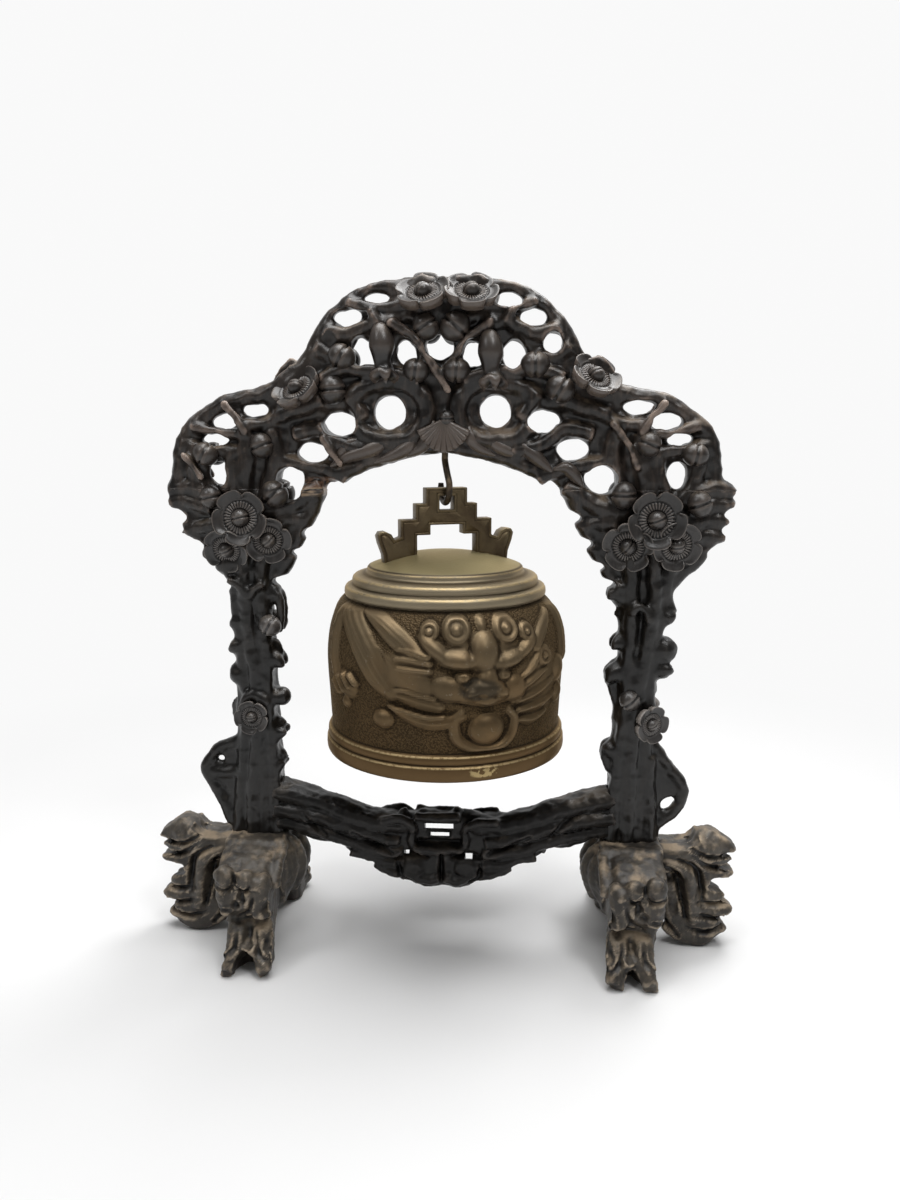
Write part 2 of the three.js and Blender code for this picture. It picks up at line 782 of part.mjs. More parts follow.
function maskGeometries() {
  return MASK.map(([x, z, halfLength, halfWidth, out, tilt]) =>
    wrapped(
      ball(1, 0, 0, 0, [halfLength, out, halfWidth])
        .rotateY(-THREE.MathUtils.degToRad(tilt))
        .translate(x, 0, z),
    ),
  );
}

const stud = (x, slack) => rod(STUD_RADIUS + slack, 112, 126, x, 0, 8);

function bellGeometry() {
  const profile = [...BELL_OUTER, ...CROWN, ...BELL_INNER, BELL_OUTER[0]];
  const relief = maskGeometries();
  const whole = joined([lathe(profile, BELL_SIDES), ...relief, ...turnedRound(relief)]);
  const inside = lathe([[0, -5], [BELL_INNER.at(-1)[0], -5], ...BELL_INNER.slice().reverse()], BELL_SIDES);
  return geometryOf(cut(whole, [inside, stud(STUD_X, GAP), stud(-STUD_X, GAP)]));
}

// Handle
function handleGeometry() {
  const [first, second, third] = [1, 2, 3].map((step) => HANDLE_TOP - step * HANDLE_STEP);
  const rightHalf = [
    [HANDLE_HALF_WIDTH - 1, HANDLE_FOOT_Z - 6],
    [HANDLE_HALF_WIDTH, 124],
    [HANDLE_HALF_WIDTH + 3, third + 1],
    [33, third - 3],
    [29, third - 1],
    [29, second],
    [19.5, second],
    [19.5, first],
    [13, first],
    [13, HANDLE_TOP],
  ];
  const outline = [...rightHalf, ...mirrorX(rightHalf).reverse()];
  const plate = board(outline, HANDLE_THICK / 2, 1);
  const window = [
    box(38, 40, third - 100, 0, 0, (third + 100) / 2),
    box(21, 40, 16, 0, 0, third - 2),
  ];
  const eye = box(2 * EYE_HALF, 40, EYE_HEIGHT, 0, 0, EYE_TOP - EYE_HEIGHT / 2);
  const seat = lathe(
    [[0, 90], [CROWN_EDGE_RADIUS + 1, 90], ...CROWN.map(([r, z]) => [r, z + GAP])],
    BELL_SIDES,
  );
  const shaped = cut(solidOf(plate), [...window, eye, seat]);
  const studs = [STUD_X, -STUD_X].flatMap((x) => [
    stud(x, 0),
    rod(STUD_HEAD_RADIUS, 112 - STUD_HEAD, 112, x, 0, 8),
  ]);
  return geometryOf(withPieces(shaped, studs));
}

// Hook
function hookGeometry() {
  const bend = [];
  for (let degrees = 180; degrees <= 360; degrees += 30) {
    const angle = THREE.MathUtils.degToRad(degrees);
    bend.push([0, HOOK_BEND * Math.cos(angle), BEND_Z + HOOK_BEND * Math.sin(angle)]);
  }
  const path = [
    [0, 0, ARCH_TOP + HOOK_DEPTH],
    [0, 0, ARCH_TOP],
    [0, 0, ARCH_TOP - 6],
    [0, -HOOK_BEND * 0.5, ARCH_TOP - 13],
    [0, -HOOK_BEND, ARCH_TOP - 19],
    ...bend,
    [0, HOOK_BEND, BEND_Z + 3],
  ];
  return limb(path, WIRE_RADIUS, 22, HOOK_SIDES);
}

// Assembly
const part = new THREE.Group();
part.name = "temple_bell";
part.add(meshOf("crest", crestGeometry(), wood()));
part.add(meshOf("left_post", postGeometry(LEFT_POST, RIGHT_POST), wood()));
part.add(meshOf("right_post", postGeometry(RIGHT_POST, LEFT_POST), wood()));
part.add(meshOf("stretcher", stretcherGeometry(), wood()));
part.add(meshOf("left_foot", footGeometry(-1), rootWood()));
part.add(meshOf("right_foot", footGeometry(1), rootWood()));
part.add(meshOf("left_outer_root", outerRootGeometry(-1), rootWood()));
part.add(meshOf("right_outer_root", outerRootGeometry(1), rootWood()));
for (const [name, x] of DOWEL_PLACES) {
  part.add(meshOf(name, dowelRod(x, 0), dowelWood()));
}

// The hook turns on its shank, and the bell hangs on the hook.
const swivel = new THREE.Group();
swivel.position.set(HOOK_X, 0, 0);
swivel.rotation.z = BELL_TURN;
swivel.add(meshOf("hook", hookGeometry(), wireIron()));
const bell = meshOf("bell", bellGeometry(), bronze());
const handle = meshOf("bell_handle", handleGeometry(), bronze());
for (const mesh of [bell, handle]) {
  mesh.position.z = MOUTH_Z;
  swivel.add(mesh);
}
part.add(swivel);

export default part;
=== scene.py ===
"""A bronze temple bell on a wire hook, in a carved hardwood stand.

Shapes are modelled in millimetres in the frame of the CAD part: +X to the right, +Y to the back, +Z up,
with the origin on the floor between the feet. Each finished piece is scaled to metres.
"""

import functools
import math

import bmesh
import bpy
import numpy as np
from mathutils import Matrix, Vector, kdtree, noise


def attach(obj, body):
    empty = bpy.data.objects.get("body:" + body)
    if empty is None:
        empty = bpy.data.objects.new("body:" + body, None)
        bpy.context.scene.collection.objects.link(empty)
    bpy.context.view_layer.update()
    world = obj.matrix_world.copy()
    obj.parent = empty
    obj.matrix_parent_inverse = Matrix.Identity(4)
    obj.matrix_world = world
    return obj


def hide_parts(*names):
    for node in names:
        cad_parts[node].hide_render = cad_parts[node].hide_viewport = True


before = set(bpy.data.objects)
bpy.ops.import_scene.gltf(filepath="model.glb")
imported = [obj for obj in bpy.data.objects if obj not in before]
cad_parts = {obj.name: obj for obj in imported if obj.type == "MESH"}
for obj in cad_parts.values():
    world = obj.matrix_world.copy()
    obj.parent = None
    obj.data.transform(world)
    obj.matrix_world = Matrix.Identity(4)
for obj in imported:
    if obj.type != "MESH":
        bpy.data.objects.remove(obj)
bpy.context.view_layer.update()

MM = 0.001

# Sizes shared with the CAD part, in millimetres
FLOOR_Z = 0
BOARD_HALF = 9
SEAT_Z = 296
HOOK_X = 1.5
ARCH_TOP = 319
MOUTH_Z = 135
BELL_TURN = math.radians(21)
HANDLE_THICK = 9
BEND_RADIUS = 8.5
BEND_Z = 296.27
WIRE_RADIUS = 2

# Camera at the photograph's viewpoint
CAMERA_PLACE = (0.0386, -0.5584, 0.3295)
CAMERA_PITCH = 79.6
CAMERA_YAW = 3.49
CAMERA_LENS = 27.25


# Shader values


class Value:
    """A socket whose arithmetic adds Math nodes to its finish."""

    def __init__(self, finish, socket):
        self.finish = finish
        self.socket = socket

    def math(self, operation, *values):
        return self.finish.node("ShaderNodeMath", {"operation": operation}, dict(enumerate(values)))

    def __add__(self, other):
        return self.math("ADD", self, other)

    def __sub__(self, other):
        return self.math("SUBTRACT", self, other)

    def __rsub__(self, other):
        return self.math("SUBTRACT", other, self)

    def __mul__(self, other):
        return self.math("MULTIPLY", self, other)

    def __pow__(self, other):
        return self.math("POWER", self, other)

    __radd__ = __add__
    __rmul__ = __mul__

    def over(self, low, high):
        """0 below low, 1 above high, and smooth between them. With low above high it falls."""
        settings = {"interpolation_type": "SMOOTHSTEP"}
        return self.finish.node("ShaderNodeMapRange", settings, {0: self, 1: low, 2: high, 3: 0.0, 4: 1.0})

    def near(self, centre, reach):
        """1 at the centre, falling to 0 at the reach on either side."""
        return self.math("ABSOLUTE", self - centre).over(reach, 0.0)

    def most(self, other):
        return self.math("MAXIMUM", self, other)

    def least(self, other):
        return self.math("MINIMUM", self, other)


class Finish:
    """A material, or the world, and the nodes that make it."""

    def __init__(self, owner, place="Object"):
        owner.use_nodes = True
        self.owner = owner
        self.tree = owner.node_tree
        self.tree.nodes.clear()
        self.place = self.node("ShaderNodeTexCoord", output=place)

    def node(self, kind, settings=None, inputs=None, output=0):
        node = self.tree.nodes.new(kind)
        for key, value in (settings or {}).items():
            setattr(node, key, value)
        for key, value in (inputs or {}).items():
            if isinstance(value, Value):
                self.tree.links.new(value.socket, node.inputs[key])
            else:
                node.inputs[key].default_value = value
        return Value(self, node.outputs[output]) if node.outputs else None

    def mix(self, factor, first, second):
        """A colour that goes from the first to the second."""
        paint = {0: factor}
        for key, colour in ((6, first), (7, second)):
            paint[key] = colour if isinstance(colour, Value) else (*colour, 1.0)
        return self.node("ShaderNodeMix", {"data_type": "RGBA"}, paint, output=2)

    def coated(self, colour, coats):
        """A colour under coats of other colours, each with its factor."""
        for factor, coat in coats:
            colour = self.mix(factor, colour, coat)
        return colour

    def grain(self, size, detail=4.0, stretch=(1, 1, 1)):
        """Noise whose features are about that many millimetres across."""
        scale = tuple(1.0 / (size * MM * s) for s in stretch)
        spot = self.node("ShaderNodeMapping", {}, {"Vector": self.place, "Scale": scale})
        inputs = {"Vector": spot, "Scale": 1.0, "Detail": detail, "Roughness": 0.55}
        return self.node("ShaderNodeTexNoise", {}, inputs)

    def cells(self, size):
        """Distance in a field of cells about that many millimetres across."""
        return self.node("ShaderNodeTexVoronoi", {}, {"Vector": self.place, "Scale": 1.0 / (size * MM)})

    def axis(self, name):
        return self.node("ShaderNodeSeparateXYZ", {}, {0: self.place}, output=name)

    def within(self, name, low, high):
        """1 between two places in millimetres along an axis, with a soft end at each."""
        place = self.axis(name)
        return place.over((low - 2) * MM, low * MM) * place.over((high + 2) * MM, high * MM)

    def oval(self, x, z, half_width, half_height):
        """1 inside an oval seen from the front, in millimetres, with a soft rim."""
        across = (self.axis("X") - x * MM) * (1 / (half_width * MM))
        up = (self.axis("Z") - z * MM) * (1 / (half_height * MM))
        return (across * across + up * up).over(1.3, 0.6) * self.axis("Y").over(-0.03, -0.05)

    def edges(self):
        """Curvature of the surface: about 0.5 where flat, more on ridges and less in creases."""
        return self.node("ShaderNodeNewGeometry", output="Pointiness")

    def upward(self):
        """1 where the surface faces up, and -1 where it faces down."""
        normal = self.node("ShaderNodeNewGeometry", output="Normal")
        return self.node("ShaderNodeSeparateXYZ", {}, {0: normal}, output="Z")

    def attribute(self, name):
        return self.node("ShaderNodeAttribute", {"attribute_name": name}, output="Fac")

    def bump(self, height, depth, strength):
        inputs = {"Strength": strength, "Distance": depth * MM, "Height": height}
        return self.node("ShaderNodeBump", {}, inputs, output="Normal")

    def surface(self, **sockets):
        """Ends the finish in a Principled shader. Socket names are written with underscores for spaces."""
        inputs = {key.replace("_", " "): value for key, value in sockets.items()}
        for key, value in inputs.items():
            if isinstance(value, tuple) and len(value) == 3:
                inputs[key] = (*value, 1.0)
        shader = self.node("ShaderNodeBsdfPrincipled", {}, inputs)
        self.node("ShaderNodeOutputMaterial", {}, {"Surface": shader})
        return self.owner


def new_finish(name):
    return Finish(bpy.data.materials.new(name))


def any_of(values):
    """The highest of several values."""
    return functools.reduce(Value.most, values)


# Finishes

# Near-black painted shade for creases, and the brown and pale of bare wood in a split.
PAINTED_CREASE_SHADE = (0.002, 0.0018, 0.0017)
SPLIT_BROWN = (0.13, 0.075, 0.048)
SPLIT_PALE = (0.33, 0.24, 0.16)


def carved_wood_finish(name, tones, upper, dust_share, shine, gloss):
    """Stained hardwood: worn and painted highlight on ridges, painted shade in creases, and dust settled on
    top.

    Tones are dark, mid, worn and dust. The upper ones take over from the lower ones up the posts.
    A split at the left shoulder shows bare wood.
    """
    wood = new_finish(name)
    height = wood.axis("Z")
    # The upper tones take over up the posts; in the frame's finish this paints shade on the posts and light
    # on the crest.
    rise = height.over(0.225, 0.315)
    dark, mid, worn, dust = (wood.mix(rise, low, high) for low, high in zip(tones, upper))
    edge = wood.edges()
    off_joint = 1.0 - height.near(SEAT_Z * MM, 0.0015)
    patches = wood.grain(26, detail=3)
    fibres = wood.grain(5, detail=5, stretch=(1, 1, 5))
    specks = wood.grain(1.6, detail=3)
    settled = wood.upward().over(0.2, 0.9) * wood.grain(18, detail=5).over(0.48, 0.66)
    settled = (settled + specks.over(0.6, 0.75) * 0.15) * dust_share
    split = wood.within("X", -90, -66) * wood.grain(3, stretch=(8, 1, 1)).over(0.4, 0.55)
    coats = [
        (patches.over(0.35, 0.7), mid),
        (fibres.over(0.45, 0.75) * 0.15, worn),
        # Worn wood and painted highlight on the ridges, but not at the joint.
        (edge.over(0.515, 0.575) * patches.over(0.15, 0.5) * off_joint * 0.9, worn),
        # Painted shade, near black, in the creases.
        (edge.over(0.497, 0.445) * off_joint, PAINTED_CREASE_SHADE),
        (settled.least(1.0), dust),
        (split * wood.within("Z", 297, 302), SPLIT_BROWN),
        (split * wood.within("Z", 293, 296), SPLIT_PALE),
    ]
    return wood.surface(
        Base_Color=wood.coated(dark, coats),
        Roughness=(fibres * 0.2 + settled * 0.35 + (1.0 - shine)).least(0.95),
        Normal=wood.bump(fibres * 0.7 + specks * 0.3, 0.35, 0.5),
        Specular_IOR_Level=gloss,
    )


# Grooves painted with shade and rims painted with highlights round the bell: height and half the width, in
# millimetres.
BELL_GROOVES = [(230.6, 1.6), (238.8, 1.1), (245.2, 1.4), (249.4, 0.7), (144.8, 0.9), (151.2, 1.0)]
BELL_HIGHLIGHT_RIMS = [(237.2, 1.1), (243.3, 1.1), (248.5, 0.8), (143.7, 0.9), (149.7, 0.9)]


def bell_bronze_finish():
    """Old bronze: brown, brassy wear and painted highlight on ridges, painted shade in creases, and a
    stippled ground.
    """
    bronze = new_finish("bell_bronze")
    height = bronze.axis("Z")
    clouds = bronze.grain(22)
    grains = bronze.cells(1.1)
    fine = bronze.grain(2.2)
    raised = bronze.attribute("relief")
    ridge = bronze.attribute("ridge")
    crown = height.over(0.2305, 0.2325)
    bands = height.over(0.1520, 0.1505)
    ground = (1.0 - raised.over(0.06, 0.3)) * (1.0 - crown) * (1.0 - bands)
    grooves = any_of(height.near(z * MM, reach * MM) for z, reach in BELL_GROOVES)
    rims = any_of(height.near(z * MM, reach * MM) for z, reach in BELL_HIGHLIGHT_RIMS)
    nose = bronze.oval(25.5, 190, 11.5, 6.5) * bronze.grain(7).over(0.3, 0.5)
    bared = bronze.oval(28, 141, 8, 3.2) * bronze.grain(2.6, detail=3).over(0.46, 0.52)
    coats = [
        (clouds.over(0.35, 0.65), (0.095, 0.066, 0.036)),
        (height.over(0.17, 0.225) * 0.55, (0.15, 0.118, 0.075)),
        (ground * 0.6, (0.08, 0.052, 0.025)),
        # Painted shade between the grains of the stipple.
        (ground * grains.over(0.4, 0.65) * 0.6, (0.02, 0.013, 0.007)),
        (bands, (0.115, 0.072, 0.034)),
        # The shoulder and dome are paler, partly as painted light on the faces that look up.
        (crown, (0.26, 0.218, 0.15)),
        (height.over(0.2492, 0.2505), (0.25, 0.212, 0.115)),
        # Brassy wear and painted highlight on the ridges of the relief.
        (ridge.over(0.55, 0.80) * 0.3, (0.27, 0.2, 0.12)),
        # Painted shade in the creases of the relief.
        (ridge.over(0.46, 0.28) * 0.75, (0.016, 0.011, 0.007)),
        # Painted highlights on the rims, broken up like wear, and painted shade in the grooves.
        (rims * fine.over(0.3, 0.55) * 0.8, (0.42, 0.32, 0.17)),
        (grooves * 0.9, (0.018, 0.013, 0.008)),
        (nose * 0.7, (0.028, 0.027, 0.023)),
        (bared * 0.85, (0.46, 0.35, 0.17)),
        (raised.over(0.3, 0.6) * fine.over(0.64, 0.7) * 0.3, (0.3, 0.26, 0.2)),
    ]
    stipple = (1.0 - grains) * ground + fine * 0.15
    return bronze.surface(
        Base_Color=bronze.coated((0.135, 0.087, 0.043), coats),
        Roughness=0.3 + clouds * 0.16 + fine * 0.12 + ground * 0.16,
        Metallic=0.6,
        Normal=bronze.bump(stipple, 0.9, 0.8),
        Specular_IOR_Level=0.25,
        Specular_Tint=(0.8, 0.62, 0.4),
    )


def handle_bronze_finish():
    """The handle's bronze, browner than the bell and worn at its corners."""
    bronze = new_finish("handle_bronze")
    ridge = bronze.edges()
    clouds = bronze.grain(12, detail=5)
    fine = bronze.grain(1.2)
    coats = [
        (clouds.over(0.35, 0.65), (0.12, 0.09, 0.05)),
        (ridge.over(0.52, 0.62) * clouds.over(0.3, 0.6), (0.30, 0.24, 0.14)),
        # Painted shade in the creases.
        (ridge.over(0.49, 0.42) * 0.7, (0.03, 0.022, 0.014)),
    ]
    colour = bronze.coated((0.085, 0.06, 0.034), coats)
    bump = bronze.bump(fine, 0.3, 0.5)
    return bronze.surface(Base_Color=colour, Roughness=0.38 + fine * 0.2, Metallic=0.85, Normal=bump)


def wire_iron_finish():
    """Dark drawn wire with a brown patina."""
    iron = new_finish("wire_iron")
    clouds = iron.grain(6, detail=5)
    colour = iron.mix(clouds.over(0.35, 0.65), (0.035, 0.026, 0.018), (0.11, 0.08, 0.05))
    bump = iron.bump(clouds, 0.2, 0.4)
    return iron.surface(Base_Color=colour, Roughness=0.35 + clouds * 0.3, Metallic=0.8, Normal=bump)


def dowel_finish():
    """Pale straight-grained peg wood."""
    wood = new_finish("dowel_wood")
    fibres = wood.grain(1.5, stretch=(1, 1, 12))
    colour = wood.mix(fibres, (0.22, 0.14, 0.075), (0.36, 0.25, 0.14))
    return wood.surface(Base_Color=colour, Roughness=0.65 + fibres * 0.2, Normal=wood.bump(fibres, 0.2, 0.5))


# Tones of the woods: dark, mid, worn and dust. The worn tone is also a painted highlight on ridges.
CREST_TONES = [(0.007, 0.0056, 0.0048), (0.028, 0.022, 0.018), (0.3, 0.228, 0.185), (0.36, 0.27, 0.185)]
POST_TONES = [(0.005, 0.0045, 0.004), (0.012, 0.0105, 0.0092), (0.055, 0.047, 0.041), (0.16, 0.125, 0.09)]
BLOSSOM_TONES = [(0.018, 0.016, 0.015), (0.042, 0.038, 0.036), (0.23, 0.205, 0.185), (0.22, 0.18, 0.14)]
BUD_TONES = [(0.01, 0.0082, 0.007), (0.026, 0.021, 0.0178), (0.115, 0.09, 0.074), (0.22, 0.17, 0.12)]
ROOT_TONES = [(0.017, 0.014, 0.011), (0.062, 0.052, 0.04), (0.36, 0.29, 0.21), (0.44, 0.34, 0.23)]
# Post tones low and crest tones high: painted shade on the posts and painted light on the crest.
FRAME_WOOD = carved_wood_finish("frame_wood", POST_TONES, CREST_TONES, dust_share=0.4, shine=0.78, gloss=0.4)
BLOSSOM_WOOD = carved_wood_finish(
    "blossom_wood", BLOSSOM_TONES, BUD_TONES, dust_share=0.3, shine=0.76, gloss=0.55
)
POST_WOOD = carved_wood_finish("post_wood", POST_TONES, POST_TONES, dust_share=0.3, shine=0.72, gloss=0.3)
ROOT_WOOD = carved_wood_finish("root_wood", ROOT_TONES, ROOT_TONES, dust_share=0.6, shine=0.6, gloss=0.45)
BELL_BRONZE = bell_bronze_finish()
HANDLE_BRONZE = handle_bronze_finish()
WIRE_IRON = wire_iron_finish()
DOWEL_WOOD = dowel_finish()


# Shaping


def spline(points, count):
    """Evenly numbered points on a smooth curve through a few points of any width."""
    points = np.array(points, float)
    ends = 2 * points[[0, -1]] - points[[1, -2]]
    padded = np.vstack([ends[:1], points, ends[1:]])
    line = []
    for at in np.linspace(0, len(points) - 1, count):
        first = min(int(at), len(points) - 2)
        t = at - first
        before, start, end, after = padded[first : first + 4]
        bend = (2 * before - 5 * start + 4 * end - after) * t**2
        twist = (3 * start - before - 3 * end + after) * t**3
        line.append(0.5 * (2 * start + (end - before) * t + bend + twist))
    return np.array(line)


LEAST_RADIUS = 0.25


def limb(whole, stations, count=12, sides=8):
    """Adds a limb along a smooth curve through stations of x, y, z and radius."""
    line = spline(stations, count)
    shape = bmesh.new()
    rings = []
    for index, (x, y, z, radius) in enumerate(line):
        ahead = line[min(index + 1, count - 1), :3] - line[max(index - 1, 0), :3]
        turn = Vector(ahead).to_track_quat("Z", "Y").to_matrix().to_4x4()
        place = Matrix.Translation((x, y, z)) @ turn
        made = bmesh.ops.create_circle(shape, segments=sides, radius=max(radius, LEAST_RADIUS), matrix=place)
        rings.append(list({edge for vert in made["verts"] for edge in vert.link_edges}))
    for ring, following in zip(rings, rings[1:]):
        bmesh.ops.bridge_loops(shape, edges=ring + following)
    for end in (rings[0], rings[-1]):
        bmesh.ops.contextual_create(shape, geom=end)
    take_in(whole, shape)


def limbs(shape, lines, side, count=14):
    """Adds limbs that are listed for the +X side, on either side."""
    for line in lines:
        limb(shape, [(side * x, y, z, radius) for x, y, z, radius in line], count)


def branches(shape, rows, side=1):
    """Adds limbs through x and z points, each with its radius at both ends and its depth."""
    for start, end, depth, line in rows:
        radii = np.linspace(start, end, len(line))
        stations = [(side * x, depth, z, radius) for (x, z), radius in zip(line, radii)]
        limb(shape, stations, count=4 * len(line))


def tips(shape, rows, side=1):
    """Adds carved leaf tips that curl from a base to a point, both x and z."""
    for base, point, radius in rows:
        x, z = [(b + t) / 2 for b, t in zip(base, point)]
        line = [(base[0], 0, base[1], radius), (x, -1, z + 0.8, radius * 0.8), (point[0], 0, point[1], 0.7)]
        limbs(shape, [line], side, count=7)


def spun(profile, steps, merge, closed=False):
    """A new shape turned from a profile of radius and height about the upright axis."""
    shape = bmesh.new()
    verts = [shape.verts.new((radius, 0, z)) for radius, z in profile]
    following = verts[1:] + verts[:1] if closed else verts[1:]
    edges = [shape.edges.new(pair) for pair in zip(verts, following)]
    turn = {"cent": (0, 0, 0), "axis": (0, 0, 1), "angle": math.tau, "steps": steps}
    bmesh.ops.spin(shape, geom=verts + edges, use_merge=True, **turn)
    bmesh.ops.remove_doubles(shape, verts=shape.verts, dist=merge)
    bmesh.ops.recalc_face_normals(shape, faces=shape.faces)
    return shape


def ball(shape, place, size, around=12, up=8):
    """Adds an egg of three half sizes at a place, which is a point or a matrix."""
    if not isinstance(place, Matrix):
        place = Matrix.Translation(place)
    matrix = place @ Matrix.Diagonal((*size, 1.0))
    made = bmesh.ops.create_uvsphere(shape, u_segments=around, v_segments=up, radius=1.0, matrix=matrix)
    return made["verts"]


def facing(x, y, z, lean=0.0, side=0.0, spin=0.0):
    """A place on a front face. Its +Z points forward, leaned up and turned sideways by degrees."""
    turn = Matrix.Rotation(math.radians(side), 4, "Z") @ Matrix.Rotation(math.radians(90 - lean), 4, "X")
    return Matrix.Translation((x, y, z)) @ turn @ Matrix.Rotation(math.radians(spin), 4, "Z")


def made_by(build, *details):
    """A new shape with what a function adds to it."""
    shape = bmesh.new()
    build(shape, *details)
    return shape


def with_back(build, *details):
    """A new shape with what a function adds to it, and its mirror image on the back."""
    shape = made_by(build, *details)
    behind = shape.copy()
    bmesh.ops.scale(behind, vec=(1, -1, 1), verts=behind.verts)
    bmesh.ops.reverse_faces(behind, faces=behind.faces)
    take_in(shape, behind)
    return shape


def cad_shape(*nodes):
    """Copies of CAD nodes in millimetres, with their triangles joined at the corners."""
    shape = bmesh.new()
    for node in nodes:
        shape.from_mesh(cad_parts[node].data)
    bmesh.ops.scale(shape, vec=(1 / MM, 1 / MM, 1 / MM), verts=shape.verts)
    bmesh.ops.remove_doubles(shape, verts=shape.verts, dist=0.01)
    return shape


def mesh_of(name, shape):
    """A mesh of a shape, which is used up."""
    mesh = bpy.data.meshes.new(name)
    shape.to_mesh(mesh)
    shape.free()
    return mesh


def linked(name, data):
    """A new object in the scene."""
    made = bpy.data.objects.new(name, data)
    bpy.context.scene.collection.objects.link(made)
    return made


def take_in(shape, other):
    """Adds another shape to a shape. The other one is used up."""
    mesh = mesh_of("part", other)
    shape.from_mesh(mesh)
    bpy.data.meshes.remove(mesh)


def loose_object(shape):
    """An object for a shape, which is used up."""
    bmesh.ops.recalc_face_normals(shape, faces=shape.faces)
    return linked("loose", mesh_of("loose", shape))


def finished_shape(loose):
    """The shape of an object after its modifiers. The object is used up."""
    mesh = loose.data
    whole = bpy.data.meshes.new_from_object(loose.evaluated_get(bpy.context.evaluated_depsgraph_get()))
    result = bmesh.new()
    result.from_mesh(whole)
    bpy.data.objects.remove(loose)
    for leftover in (mesh, whole):
        bpy.data.meshes.remove(leftover)
    return result


def fused(shape, voxel, rounds):
    """Grows everything in a shape together into one skin, softens it, and gives it back as a new shape."""
    loose = loose_object(shape)
    skin = loose.modifiers.new("skin", "REMESH")
    skin.mode = "VOXEL"
    skin.voxel_size = voxel
    soften = loose.modifiers.new("soften", "SMOOTH")
    soften.factor = 0.5
    soften.iterations = rounds
    return finished_shape(loose)


def slotted(shape, slots):
    """Cuts square slots that slope down from front to back, each x, z, width and height."""
    cutter = bmesh.new()
    slope = Matrix.Rotation(math.radians(SLOT_SLOPE), 4, "X")
    for x, z, wide, high in slots:
        place = Matrix.Translation((x, 0, z)) @ slope @ Matrix.Diagonal((wide, SLOT_REACH, high, 1))
        bmesh.ops.create_cube(cutter, size=1, matrix=place)
    tool = loose_object(cutter)
    loose = loose_object(shape)
    cut = loose.modifiers.new("slots", "BOOLEAN")
    cut.operation = "DIFFERENCE"
    cut.object = tool
    result = finished_shape(loose)
    bpy.data.objects.remove(tool)
    return result


def roughened(shape, size, depth, seed):
    """Moves a skin in and out by noise of a size in millimetres."""
    shape.normal_update()
    offset = Vector((seed, seed * 1.7, seed * 2.3))
    for vert in shape.verts:
        amount = noise.fractal(vert.co * (1 / size) + offset, 1.0, 2.0, 3)
        vert.co += vert.normal * amount * depth


def gouged(shape, size, depth):
    """Hollows a skin like the marks of a gouge, each about a size in millimetres across."""
    shape.normal_update()
    for vert in shape.verts:
        distances, _ = noise.voronoi(vert.co / size)
        vert.co += vert.normal * depth * (min(distances[0], 0.7) - 0.35)


def cut_through(shape, openings, side, ease=1.0):
    """Pushes a skin out of upright openings, each x and z of its middle, and half its width and height."""
    for x, z, wide, high in openings:
        for vert in shape.verts:
            across = (vert.co.x - side * x) / (wide * ease)
            up = (vert.co.z - z) / (high * ease)
            reach = math.hypot(across, up)
            if 0 < reach < 1:
                vert.co.x = side * x + wide * ease * across / reach
                vert.co.z = z + high * ease * up / reach


def nearby(places):
    """A tree that finds the nearest of some places."""
    tree = kdtree.KDTree(len(places))
    for index, place in enumerate(places):
        tree.insert(place, index)
    tree.balance()
    return tree


def hollowed(shape, hollows, side=1):
    """Pushes a skin out of egg-shaped hollows, each x, y, z and three half sizes, at the front and back."""
    shape.verts.ensure_lookup_table()
    for way in (1, -1):
        tree = nearby([vert.co for vert in shape.verts])
        for x, y, z, wide, deep, high in hollows:
            middle = Vector((side * x, way * y, z))
            for _, index, _ in tree.find_range(middle, 1.3 * max(wide, deep, high)):
                vert = shape.verts[index]
                away = vert.co - middle
                reach = Vector((away.x / wide, away.y / deep, away.z / high)).length
                if 0 < reach < 1:
                    vert.co = middle + away / reach


def engraved(shape, lines, side=1):
    """Cuts round grooves in the front and back of a skin along lines of x, z, half width and depth."""
    stations = [station for line in lines for station in spline(line, 24)]
    tree = nearby([(side * x, 0, z) for x, z, _, _ in stations])
    shape.normal_update()
    for vert in shape.verts:
        _, index, away = tree.find((vert.co.x, 0, vert.co.z))
        _, _, wide, deep = stations[index]
        if away < wide and abs(vert.normal.y) > 0.2:
            vert.co.y -= math.copysign(deep * (1 - (away / wide) ** 2), vert.normal.y)


def rounded_off(shape, openings, side):
    """Thins a board towards the rim of each of its openings."""
    rim = 6.5
    for x, z, wide, high in openings:
        for vert in shape.verts:
            reach = math.hypot((vert.co.x - side * x) / wide, (vert.co.z - z) / high)
            inside = max(reach - 1, 0) * math.sqrt(wide * high)
            if inside < rim:
                vert.co.y *= 0.5 + 0.5 * math.sqrt(1 - (1 - inside / rim) ** 2)


def piece(name, shape, finish, body, nodes=()):
    """Makes a shape in millimetres into a finished piece of the object."""
    bmesh.ops.scale(shape, vec=(MM, MM, MM), verts=shape.verts)
    for face in shape.faces:
        face.smooth = True
    made = linked(name, mesh_of(name, shape))
    made.data.materials.append(finish)
    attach(made, body)
    if nodes:
        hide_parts(*nodes)
    return made


# Carved ornament

# A blossom's face from its middle to its edge as shares of its radius, and its back as shares of its radius
# outward and down.
BLOSSOM_FACE = [0, 0.2, 0.32, 0.35, 0.4, 0.5, 0.58, 0.62, 0.65, 0.69, 0.75, 0.82, 0.89, 0.95, 0.985, 1]
BLOSSOM_BACK = [(0.93, -0.16), (0, -0.3)]
BLOSSOM_FLUTES = 30
# Where its stamens start and end and its petals start, and where the notches between the petals start.
STAMEN_START = 0.33
STAMEN_END = 0.6
PETAL_START = 0.64
NOTCH_START = 0.66


